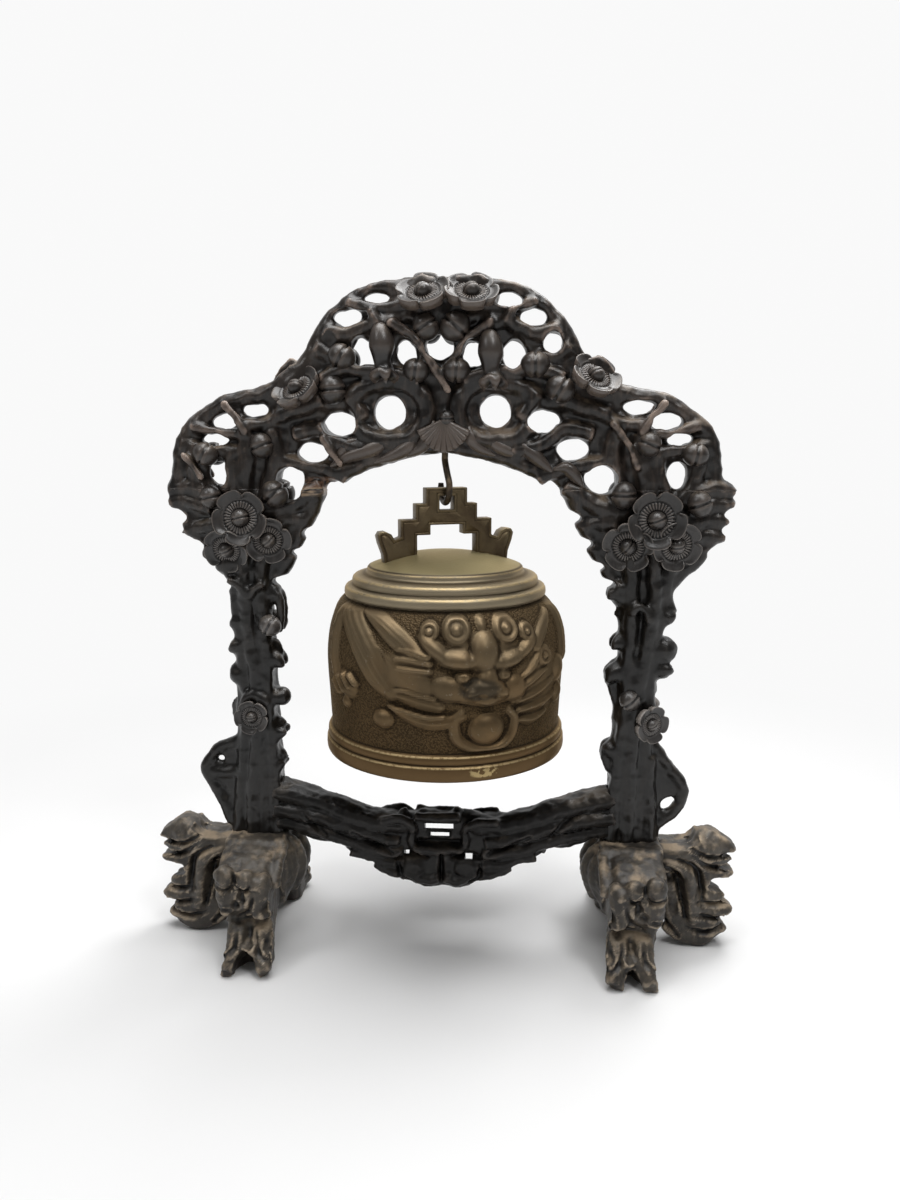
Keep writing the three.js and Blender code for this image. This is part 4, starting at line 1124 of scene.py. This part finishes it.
# Toes as x of the knee, the toe and the claw.
FOOT_TOES = [(109, 108, 106), (125, 126, 128)]
FOOT_SHELF_EDGES = (102, 136)
# Folds on the inner side: x, y, and how far the lower end goes in.
FOOT_FOLDS = [(97, -6, 0), (101, -13, 2), (105, -18, 4), (97, 6, 0), (101, 13, 2), (105, 18, 4)]


def foot_front(shape, side):
    """The carving on the front root of a foot."""
    for x, y, z, wide, tall in FOOT_KNUCKLES:
        ball(shape, (side * x, y, z), (wide, 6, tall))
    for x, y, z, size in FOOT_LUMPS:
        ball(shape, (side * x, y, z), (size, size * 0.95, size * 0.8))
    limbs(shape, [FOOT_RIDGE, FOOT_PILLAR], side)
    for knee, toe, claw in FOOT_TOES:
        limbs(shape, [[(knee, -42, 28, 6), (knee, -49, 22, 7), (toe, -54, 12, 6), (claw, -60, 4.5, 5)]], side)
        ball(shape, (side * claw, -57, 14), (4.4, 4.4, 3.4))
    for x in FOOT_SHELF_EDGES:
        limbs(shape, [[(x, -16, 69, 3.2), (x, -34, 61, 3.6), (x, -44, 52, 3.4)]], side, count=12)


def foot_folds(shape, side):
    """The folds on the inner side of a foot."""
    for x, y, inset in FOOT_FOLDS:
        low = (x + 3 + inset, y * 0.9, 32, 4)
        limbs(shape, [[(x + 5, y, 68, 4), (x - 2, y, 58, 4.5), (x - 2, y, 46, 4.5), low]], side)


# Limbs of an outer root as stations of x, y, z and radius.
OUTER_LIMBS = [
    [(132, -6, 66, 6), (146, -7, 65, 6), (158, -8, 67, 6), (167, -8, 73, 6.5)],
    [(132, 6, 66, 6), (146, 7, 65, 6), (158, 7, 67, 6), (167, 6, 73, 6.5)],
    [(136, -10, 58, 5), (148, -11, 58, 5), (158, -11, 52, 4.5), (160, -10, 36, 4), (164, -8, 18, 4.5)],
    [(136, 9, 56, 5), (150, 10, 50, 5), (158, 9, 30, 5), (164, 7, 12, 5)],
    [(146, -3, 14, 5), (156, -4, 7, 5), (170, -4, 5, 5), (178, -3, 8, 3)],
    [(145, 3, 30, 5), (150, 5, 16, 5), (162, 7, 6, 5)],
]
# Sharp spikes at the outer end of an outer root.
OUTER_SPIKES = [
    [(164, -6, 71, 6), (178, -6, 70.5, 4.4), (188.2, -5, 67.5, 0.4)],
    [(164, -5, 63, 6), (178, -5, 62.5, 3.8), (187.5, -4, 60, 0.4)],
    [(164, -4, 55, 6), (175, -4, 54.5, 3.8), (185, -3, 51, 0.4)],
    [(162, -4, 43, 5), (170, -4, 42.5, 3), (176.5, -3, 40, 0.4)],
    [(160, -5, 36, 6), (174, -5, 36.5, 4.4), (183, -4, 35, 1.6)],
    [(160, -5, 29, 6), (176, -5, 29, 4), (188, -4, 27, 0.4)],
    [(160, -4, 20, 5), (170, -4, 20, 3.4), (178, -3, 21, 0.6)],
    [(158, -4, 14, 6), (174, -4, 14.5, 4), (186, -3, 12.5, 0.4)],
]


def outer_root_face(shape, side):
    """The limbs, spikes and top knob of an outer root."""
    limbs(shape, OUTER_LIMBS + OUTER_SPIKES, side)
    ball(shape, (side * 170, -2, 73.5), (8, 10, 6.5))


def build_root(name, side, added, hollows, notches, grooves, seed):
    """Carves a foot or an outer root out of its node and the shapes that are added to it."""
    shape = fused(cad_shape(name), voxel=1.5, rounds=2)
    for addition in added:
        take_in(shape, addition)
    shape = fused(shape, voxel=1.3, rounds=1)
    hollowed(shape, hollows, side)
    cut_through(shape, notches, side)
    shape = fused(shape, voxel=1.0, rounds=1)
    engraved(shape, grooves, side)
    gouged(shape, size=8, depth=1.2)
    roughened(shape, size=3.6, depth=0.4, seed=seed)
    for vert in shape.verts:
        vert.co.z = max(vert.co.z, FLOOR_Z)
    piece("carved_" + name, shape, ROOT_WOOD, "stand", [name])


def build_feet():
    """Both feet and the outer roots that stand out from them."""
    for side, name in ((-1, "left"), (1, "right")):
        added = [with_back(foot_front, side), made_by(foot_folds, side)]
        build_root(name + "_foot", side, added, FOOT_HOLLOWS + FORK_HOLLOWS[side], [], FOOT_GROOVES, seed=6)
        added = [made_by(outer_root_face, side)]
        build_root(name + "_outer_root", side, added, ROOT_HOLLOWS, ROOT_NOTCHES, ROOT_GROOVES, seed=7)


# Bell

# The bell as radius and height over the mouth: its mouth bands, shoulder and crown, the body between bands
# and shoulder, which is a smooth curve, and its inside from the top down.
BELL_BANDS = [
    (73.2, 0), (74.4, 0.6), (75, 1.8), (75.2, 4), (75, 7.6), (74.5, 9), (73.6, 9.4), (73.2, 9.9),
    (73.8, 10.5), (74.2, 11.4), (74.1, 13.4), (73.4, 14.8), (72.6, 15.4), (71.8, 15.8), (71.5, 16.6),
]
BELL_SHOULDER = [
    (60.9, 96.2), (61, 96.6), (61.8, 97), (62.3, 97.8), (62.5, 99), (62.3, 101), (61.6, 102.4), (60.4, 103),
    (58.6, 103.2), (57.6, 103.6), (57.2, 104.2), (57.5, 105), (57.6, 106.4), (57.2, 107.8), (56.2, 108.8),
    (54.4, 109.2), (52, 109.6), (50, 110.2), (48.8, 111), (48.4, 111.6), (48.4, 112.6), (48.1, 113.6),
    (47.4, 114.4), (46.2, 115), (44.6, 115.6),
]
BELL_CROWN = [(40, 117.2), (34, 119), (27, 120.7), (19, 122), (10, 122.8), (0, 123)]
BELL_BODY = [
    (71.5, 16.6), (72, 24), (72.6, 36), (73.5, 52), (73.5, 64), (71.8, 77), (68.4, 87.5), (64.6, 93),
    (60.9, 96.2),
]
BELL_INSIDE = [
    (0, 117), (15, 116.4), (30, 114.4), (40, 111), (47, 107), (55, 98), (62, 88), (66.5, 76), (69, 62),
    (68.4, 40), (67.6, 18), (68.6, 8), (70.2, 2), (70.8, 0.4), (71.6, 0),
]
# Steps round the bell and rows of points up its body.
BELL_STEPS = 420
BELL_ROWS = 120
# Middle of the wall as height over the mouth and radius.
WALL_HEIGHTS = [0, 16, 62, 89, 97]
WALL_RADII = [72.4, 69.5, 71, 64.5, 58]

# Relief on the bell, laid out flat: millimetres across from the middle of the mask, and up from the mouth.
FLAT_RADIUS = 73.5
FLAT_HALF = FLAT_RADIUS * math.pi / 2
RELIEF_STEP = 0.5
RELIEF_LOW = 16.5
RELIEF_HIGH = 96.5

# Mounds: across, up, half length, half width, how far they stand out, and tilt in degrees. The ground comes
# first, then the sockets are sunk into it, and the other mounds go on top.
MASK_GROUND = [
    (0, 62, 31, 27, 2.2, 0), (-1, 53, 27, 11, 3.0, 0), (-43, 60, 20, 11, 2.4, -42),
    (38, 55, 22, 24, 1.6, 0),
]
MASK_SOCKETS = [(-13, 62.5, 8, 4.5, 2.6, -8), (12, 62.5, 7.5, 4.5, 2.6, 8)]
MASK_MOUNDS = [
    (-20, 54.5, 11, 8, 4.8, -24), (18.5, 52.5, 8.5, 9, 4.8, 20), (1.5, 60, 6.5, 8, 6.2, 0),
    (1, 55, 11.5, 6.8, 7.6, -2), (-7, 52.4, 5.2, 5, 7.2, 0), (9, 51.4, 5.2, 5, 7.2, 0),
    (1.5, 48, 7, 4.5, 4.8, 0), (0.4, 75.5, 8.4, 12, 6.4, 0), (-14.5, 71.2, 12, 6.4, 6.2, -6),
    (-28, 77.5, 13, 4.6, 5.0, -40), (15.5, 70, 11, 5.6, 5.8, 14), (28, 76, 10.5, 4.6, 5.0, 38),
    (-12.2, 62.2, 4.6, 3.9, 5.0, 0), (11.5, 62.2, 4.2, 3.7, 4.8, 0), (1.7, 30.6, 11.2, 9.8, 5.8, 0),
    (-0.2, 91.5, 3.6, 6, 3.0, 0), (-59, 35.2, 7.2, 5.8, 4.6, 0), (-87, 51, 11, 8.5, 3.2, -20),
    (-88, 40, 4, 4, 3.0, 0), (60, 57, 8, 9, 3.4, 0), (61, 42, 6, 7, 3.2, 0),
]
# Curls: across, up, radius, and which way they wind.
MASK_CURLS = [
    (-15.6, 88, 8.4, 1), (-31.5, 87, 5.6, 1), (15, 87.4, 8.4, -1), (29.5, 84, 5.4, -1), (42, 68.4, 6, -1),
]
# Locks and limbs: how far they stand out, how many grooves run along them, and across, up and half width.
MASK_LOCKS = [
    (3.6, 5, [(-80, 95, 1.5), (-64, 90, 5), (-49, 81.5, 6.5), (-35, 72, 4.5)]),
    (4.2, 2, [(-49, 76.5, 1.6), (-41, 76, 2.6), (-32, 73, 2.2)]),
    (4.4, 2, [(-50, 71.5, 1.6), (-41, 71, 2.8), (-31, 69, 2.2)]),
    (4.2, 2, [(-49, 66, 1.6), (-40, 65.5, 2.8), (-31, 65, 2)]),
    (3.8, 5, [(-96, 94, 8), (-82, 84, 9), (-71, 73, 10), (-62, 61, 9), (-53, 51.5, 5)]),
    (2.6, 4, [(-98, 95, 6), (-86, 88, 6), (-78, 84, 5), (-70, 82, 3)]),
    (3.2, 2, [(-57, 51, 0.8), (-46, 50, 3.6), (-36, 47.5, 4.6), (-26, 45, 4)]),
    (3.2, 2, [(-55, 43.5, 0.8), (-45, 38.8, 3), (-33, 35.2, 4), (-22, 35.4, 4), (-13, 38.5, 3)]),
    (4.0, 0, [(-57, 51.2, 0.6), (-46, 53.6, 1.2), (-37, 51.6, 1.2), (-28, 49.4, 0.9)]),
    (4.0, 0, [(-55, 43.7, 0.6), (-44, 41, 1.2), (-32, 38.4, 1.2), (-23, 38.8, 0.9)]),
    (3.4, 6, [(-105, 93, 7), (-103, 80, 6.5), (-101, 66, 6), (-97, 55, 6)]),
    (5.0, 0, [(-98, 52, 1.8), (-95, 48.5, 2), (-92, 45, 1.8)]),
    (5.2, 0, [(-93, 55, 1.8), (-90, 51, 2), (-87, 47, 1.8)]),
    (5.2, 0, [(-88, 57, 1.8), (-85, 53.5, 2), (-82, 50, 1.8)]),
    (4.8, 0, [(-83, 57.5, 1.6), (-80, 55, 1.8), (-77.5, 52.5, 1.6)]),
    (3.4, 0, [(-13, 42, 2), (-17, 36, 3.2), (-15.5, 26, 3.6), (-8, 20.6, 3.4), (1, 18.6, 3),
        (11, 19.6, 3.2), (18, 25.5, 3.4), (19.6, 35, 3), (15, 41, 2)]),
    (4.4, 2, [(20, 51, 1.6), (31, 56, 3.6), (44, 61, 1)]),
    (4.2, 2, [(22, 45, 1.8), (36, 48, 3.8), (51, 53.5, 1)]),
    (4.0, 2, [(22, 39, 1.8), (38, 40, 3.8), (54, 43, 1)]),
    (3.6, 2, [(22, 33.5, 1.6), (33, 31.8, 3.4), (46, 34.5, 0.8)]),
    (4.2, 2, [(24, 59, 1.6), (32, 64, 3.2), (38, 72, 1.5)]),
    (3.8, 4, [(36, 74, 3), (43, 82, 5), (57, 92.5, 1.5)]),
    (3.2, 5, [(72, 93, 8), (74, 80, 9), (70, 66, 8)]),
    (2.8, 0, [(-62, 77, 0.6), (-52.3, 67.8, 0.8), (-43, 58, 0.8), (-31, 51.4, 0.6)]),
]
# Pits: across, up, half length, half width, depth, and tilt in degrees.
MASK_PITS = [
    (-12.2, 62, 1.3, 1.3, 1.5, 0), (11.5, 62, 1.3, 1.3, 1.5, 0), (-6.5, 50.6, 3.2, 1.6, 2.4, 12),
    (8.5, 49.4, 3.2, 1.6, 2.4, -12), (-16, 66, 13, 1.6, 2.0, -8), (17, 65.2, 11, 1.5, 2.0, 14),
    (-12, 46, 14, 1.3, 1.8, -12), (12, 44.6, 9, 1.3, 1.8, 12), (1, 42.3, 12, 2, 1.6, 0),
    (-8.4, 76, 1.2, 8, 1.4, 0), (9.4, 75, 1.2, 8, 1.4, 0),
]


def flat_places(across, up, x, z, half_length, half_width, tilt):
    """Distance from a tilted oval's middle, as a share of its half sizes."""
    turn = math.radians(tilt)
    along = ((across - x) * math.cos(turn) + (up - z) * math.sin(turn)) / half_length
    aside = ((up - z) * math.cos(turn) - (across - x) * math.sin(turn)) / half_width
    return np.hypot(along, aside)


def domed(away):
    """A rounded form with a steep rim: 1 at its middle and 0 from its rim, where away is 1."""
    return np.clip(1 - away**2.2, 0, 1) ** 0.65


def mound_height(across, up, x, z, half_length, half_width, out, tilt):
    """A rounded mound."""
    return out * domed(flat_places(across, up, x, z, half_length, half_width, tilt))


def pit_depth(across, up, x, z, half_length, half_width, depth, tilt):
    """A soft pit."""
    return depth * np.exp(-(flat_places(across, up, x, z, half_length, half_width, tilt) ** 2))


def lock_height(across, up, out, grooves, line):
    """A tapered lock along a curve, with grooves that run with it."""
    path = spline(line, 40)
    best = np.full(across.shape, 9.0)
    aside = np.zeros(across.shape)
    for (x, z, width), (ahead, rise, _) in zip(path, np.gradient(path, axis=0)):
        distance = np.hypot(across - x, up - z) / width
        offset = ((up - z) * ahead - (across - x) * rise) / (math.hypot(ahead, rise) * width)
        aside = np.where(distance < best, offset, aside)
        best = np.minimum(distance, best)
    return out * domed(best) * (0.87 + 0.13 * np.cos(aside * math.pi * grooves))


def curl_height(across, up, x, z, radius, wind):
    """A rolled curl of hair: a ring about a knob."""
    away = np.hypot(across - x, up - z) / radius
    angle = np.arctan2(up - z, across - x) * wind / math.tau
    wave = 0.85 + 0.15 * np.cos(math.tau * (angle + away))
    ring = np.clip(1 - ((away - 0.74) / 0.28) ** 2, 0, 1) ** 0.5 * wave
    knob = np.clip(1 - (away / 0.42) ** 2, 0, 1) ** 0.5
    return 4.6 * np.maximum(np.maximum(ring * 0.9, knob), 0.5 * (away < 0.9))


def grown(height, form):
    """A height with a form added to it, joined by a small fillet."""
    fillet = 0.7
    joined = np.maximum(height, form) + np.maximum(fillet - np.abs(height - form), 0) ** 2 / (4 * fillet)
    return np.where(form > 0.05, joined, height)


def blurred(field, reach):
    """The mean of a field over a square of points about each of its points."""
    for axis in (0, 1):
        field = sum(np.roll(field, shift, axis) for shift in range(-reach, reach + 1)) / (2 * reach + 1)
    return field


def relief_field():
    """How far the relief stands out, at points laid out flat."""
    across, up = np.meshgrid(
        np.arange(-FLAT_HALF, FLAT_HALF + RELIEF_STEP, RELIEF_STEP),
        np.arange(RELIEF_LOW, RELIEF_HIGH + RELIEF_STEP, RELIEF_STEP),
    )
    height = np.zeros(across.shape)
    for mound in MASK_GROUND:
        height = grown(height, mound_height(across, up, *mound))
    for socket in MASK_SOCKETS:
        height = np.maximum(height - pit_depth(across, up, *socket), 0.4 * (height > 0))
    for mound in MASK_MOUNDS:
        height = grown(height, mound_height(across, up, *mound))
    for lock in MASK_LOCKS:
        height = grown(height, lock_height(across, up, *lock))
    for curl in MASK_CURLS:
        height = grown(height, curl_height(across, up, *curl))
    for pit in MASK_PITS:
        height = height - pit_depth(across, up, *pit)
    fade = np.clip((up - RELIEF_LOW - 0.5) / 1.5, 0, 1) * np.clip((RELIEF_HIGH - up) / 3, 0, 1)
    return blurred(np.maximum(height, 0) * fade, 1)


def sampled(field, across, up):
    """A field's values at places between its points."""
    column = np.clip((across + FLAT_HALF) / RELIEF_STEP, 0, field.shape[1] - 1.01)
    row = np.clip((up - RELIEF_LOW) / RELIEF_STEP, 0, field.shape[0] - 1.01)
    left = column.astype(int)
    low = row.astype(int)
    share = column - left
    lower = field[low, left] * (1 - share) + field[low, left + 1] * share
    upper = field[low + 1, left] * (1 - share) + field[low + 1, left + 1] * share
    return lower + (upper - lower) * (row - low)


def bell_place():
    """From the bell's own frame, with its mouth at 0 and its mask to the front, to where it hangs."""
    return Matrix.Translation((HOOK_X, 0, MOUTH_Z)) @ Matrix.Rotation(BELL_TURN, 4, "Z")


def build_bell():
    """Spins the bell and pushes its outside out by the relief, which is repeated on the back."""
    body = [tuple(point) for point in spline(BELL_BODY, BELL_ROWS)[1:-1]]
    profile = BELL_BANDS + body + BELL_SHOULDER + BELL_CROWN + BELL_INSIDE
    shape = spun(profile, BELL_STEPS, merge=0.005, closed=True)
    places = np.array([vert.co for vert in shape.verts])
    up = places[:, 2]
    radius = np.hypot(places[:, 0], places[:, 1])
    turn = np.arctan2(places[:, 0], -places[:, 1])
    across = FLAT_RADIUS * np.where(np.abs(turn) > math.pi / 2, turn - np.sign(turn) * math.pi, turn)
    outside = radius > np.interp(up, WALL_HEIGHTS, WALL_RADII)
    on_body = outside & (up > RELIEF_LOW) & (up < RELIEF_HIGH)
    relief = relief_field()
    height = np.where(on_body, sampled(relief, across, up), 0.0)
    ridge = np.where(on_body, sampled(relief - blurred(relief, 4), across, up), 0.0)
    stretch = 1 + height / np.maximum(radius, 1)
    for vert, share in zip(shape.verts, stretch):
        vert.co.x *= share
        vert.co.y *= share
    bmesh.ops.transform(shape, matrix=bell_place(), verts=shape.verts)
    made = piece("cast_bell", shape, BELL_BRONZE, "bell", ["bell"])
    for name, values in (("relief", height / 5), ("ridge", 0.5 + ridge / 3)):
        attribute = made.data.attributes.new(name, "FLOAT", "POINT")
        attribute.data.foreach_set("value", np.clip(values, 0, 1).astype(np.float32))


# Right half of the handle as x and height over the mouth, from the top down its steps and up its window.
HANDLE_HALF = [
    (13, 162), (13, 152.5), (19.5, 152.5), (19.5, 143), (29, 143), (29, 132.5), (33, 131), (35, 134.5),
    (38.5, 136.3), (42, 136), (43.5, 133.5), (42.5, 129), (40, 122), (39, 112), (19, 112), (19, 133.5),
    (10.5, 133.5), (10.5, 139.5),
]
HANDLE_EYE = [(-4.7, 148.5), (4.7, 148.5), (4.7, 157), (-4.7, 157)]


def build_handle():
    """The stepped handle, with a line cut along its edges on both faces."""
    shape = bmesh.new()
    outline = HANDLE_HALF + [(-x, z) for x, z in reversed(HANDLE_HALF)]
    rims = []
    for loop in (outline, HANDLE_EYE):
        verts = [shape.verts.new((x, -HANDLE_THICK / 2, z)) for x, z in loop]
        rims += [shape.edges.new(pair) for pair in zip(verts, verts[1:] + verts[:1])]
    front = bmesh.ops.triangle_fill(shape, edges=rims, use_dissolve=False, use_beauty=True)["geom"]
    front = [f for f in front if isinstance(f, bmesh.types.BMFace)]
    behind = bmesh.ops.extrude_face_region(shape, geom=front, use_keep_orig=True)["geom"]
    moved = [v for v in behind if isinstance(v, bmesh.types.BMVert)]
    bmesh.ops.translate(shape, vec=(0, HANDLE_THICK, 0), verts=moved)
    bmesh.ops.recalc_face_normals(shape, faces=shape.faces)
    for way in (-1, 1):
        face = [f for f in shape.faces if f.normal.y * way > 0.99]
        for thickness, depth in ((1.7, 0), (0.5, -0.6), (0.5, 0.6)):
            bmesh.ops.inset_region(shape, faces=face, thickness=thickness, depth=depth, use_boundary=True)
    corners = [e for e in shape.edges if len(e.link_faces) == 2 and e.calc_face_angle() > math.radians(60)]
    style = {"offset_type": "OFFSET", "segments": 2, "profile": 0.5, "affect": "EDGES", "material": -1}
    bmesh.ops.bevel(shape, geom=corners, offset=0.5, **style)
    bmesh.ops.transform(shape, matrix=bell_place(), verts=shape.verts)
    piece("stepped_handle", shape, HANDLE_BRONZE, "bell", ["bell_handle"])


def build_hook():
    """One bent wire, from its shank in the crest round its bend."""
    line = [(0, 26), (0, 0), (0, -6), (-BEND_RADIUS * 0.5, -13), (-BEND_RADIUS, -19)]
    path = [(0, y, ARCH_TOP + z, WIRE_RADIUS) for y, z in line]
    for degrees in range(180, 361, 30):
        angle = math.radians(degrees)
        path.append((0, BEND_RADIUS * math.cos(angle), BEND_Z + BEND_RADIUS * math.sin(angle), WIRE_RADIUS))
    path.append((0, BEND_RADIUS, BEND_Z + 3, WIRE_RADIUS * 0.8))
    shape = bmesh.new()
    limb(shape, path, count=90, sides=16)
    bmesh.ops.recalc_face_normals(shape, faces=shape.faces)
    turn = Matrix.Translation((HOOK_X, 0, 0)) @ Matrix.Rotation(BELL_TURN, 4, "Z")
    bmesh.ops.transform(shape, matrix=turn, verts=shape.verts)
    piece("wire_hook", shape, WIRE_IRON, "hook", ["hook"])


# Studio


def seen_by(finish, *rays):
    """1 for rays of any of these kinds."""
    return any_of(finish.node("ShaderNodeLightPath", output=ray) for ray in rays)


def floor_finish():
    """A pale floor that fades into the white background away from the object."""
    pale = new_finish("pale_floor")
    x = pale.axis("X")
    y = pale.axis("Y")
    away = (x * x + y * y) ** 0.5
    mottle = pale.grain(120, detail=2)
    colour = pale.mix(mottle, (0.78, 0.78, 0.78), (0.81, 0.81, 0.81))
    matt = pale.node("ShaderNodeBsdfPrincipled", {}, {"Base Color": colour, "Roughness": 0.9})
    white = pale.node("ShaderNodeEmission", {}, {"Color": (0.95, 0.95, 0.95, 1), "Strength": 1.0})
    seen = seen_by(pale, "Is Camera Ray", "Is Glossy Ray", "Is Transmission Ray")
    fade = away.over(0.24, 0.75) * seen
    mixed = pale.node("ShaderNodeMixShader", {}, {0: fade, 1: matt, 2: white})
    pale.node("ShaderNodeOutputMaterial", {}, {"Surface": mixed})
    return pale.owner


def build_world():
    """A white background, also in reflections, and a dim room on the side of the camera."""
    world = bpy.data.worlds.new("studio")
    sky = Finish(world, "Generated")
    ambient = 0.18
    white = 0.95
    background = sky.axis("Y").over(-0.1, 0.6).most(sky.axis("Z").over(0.55, 0.85))
    mirrored = seen_by(sky, "Is Glossy Ray", "Is Transmission Ray") * background
    seen = seen_by(sky, "Is Camera Ray").most(mirrored)
    strength = seen * (white - ambient) + ambient
    light = sky.node("ShaderNodeBackground", {}, {"Color": (1, 1, 1, 1), "Strength": strength})
    sky.node("ShaderNodeOutputWorld", {}, {"Surface": light})
    bpy.context.scene.world = world


# Lamps: place in metres, diameter in metres and power in watts.
LAMPS = {
    "overhead": ((0.0, -0.05, 1.6), 1.2, 21.5),
    "rim": ((0.45, 0.55, 1.35), 0.6, 8),
    "key": ((0.6, -0.85, 1.5), 0.4, 5.5),
    "fill": ((-0.9, -0.8, 1.3), 0.4, 3),
}
LAMP_AIM = Vector((0, 0, 0.2))
FLOOR_HALF = 6.0


def build_studio():
    """The floor, the lamps and the background."""
    shape = bmesh.new()
    bmesh.ops.create_grid(shape, x_segments=1, y_segments=1, size=FLOOR_HALF)
    floor = linked("floor", mesh_of("floor", shape))
    floor.data.materials.append(floor_finish())
    for name, (place, size, power) in LAMPS.items():
        light = bpy.data.lights.new(name, "AREA")
        light.shape = "DISK"
        light.size = size
        light.energy = power
        lamp = linked(name, light)
        lamp.location = place
        lamp.rotation_euler = (LAMP_AIM - Vector(place)).to_track_quat("-Z", "Y").to_euler()
    build_world()
    bpy.context.scene.view_settings.view_transform = "Standard"


def build_camera():
    """A camera at the photograph's viewpoint."""
    data = bpy.data.cameras.new("camera")
    data.lens = CAMERA_LENS
    data.sensor_width = 36
    camera = linked("camera", data)
    camera.location = CAMERA_PLACE
    camera.rotation_euler = (math.radians(CAMERA_PITCH), 0, math.radians(CAMERA_YAW))
    bpy.context.scene.camera = camera


build_camera()
build_studio()
build_frame()
build_stretcher()
build_feet()
build_bell()
build_handle()
build_hook()
for node_name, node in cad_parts.items():
    if node_name.startswith("crest_dowel"):
        node.data.materials.clear()
        node.data.materials.append(DOWEL_WOOD)
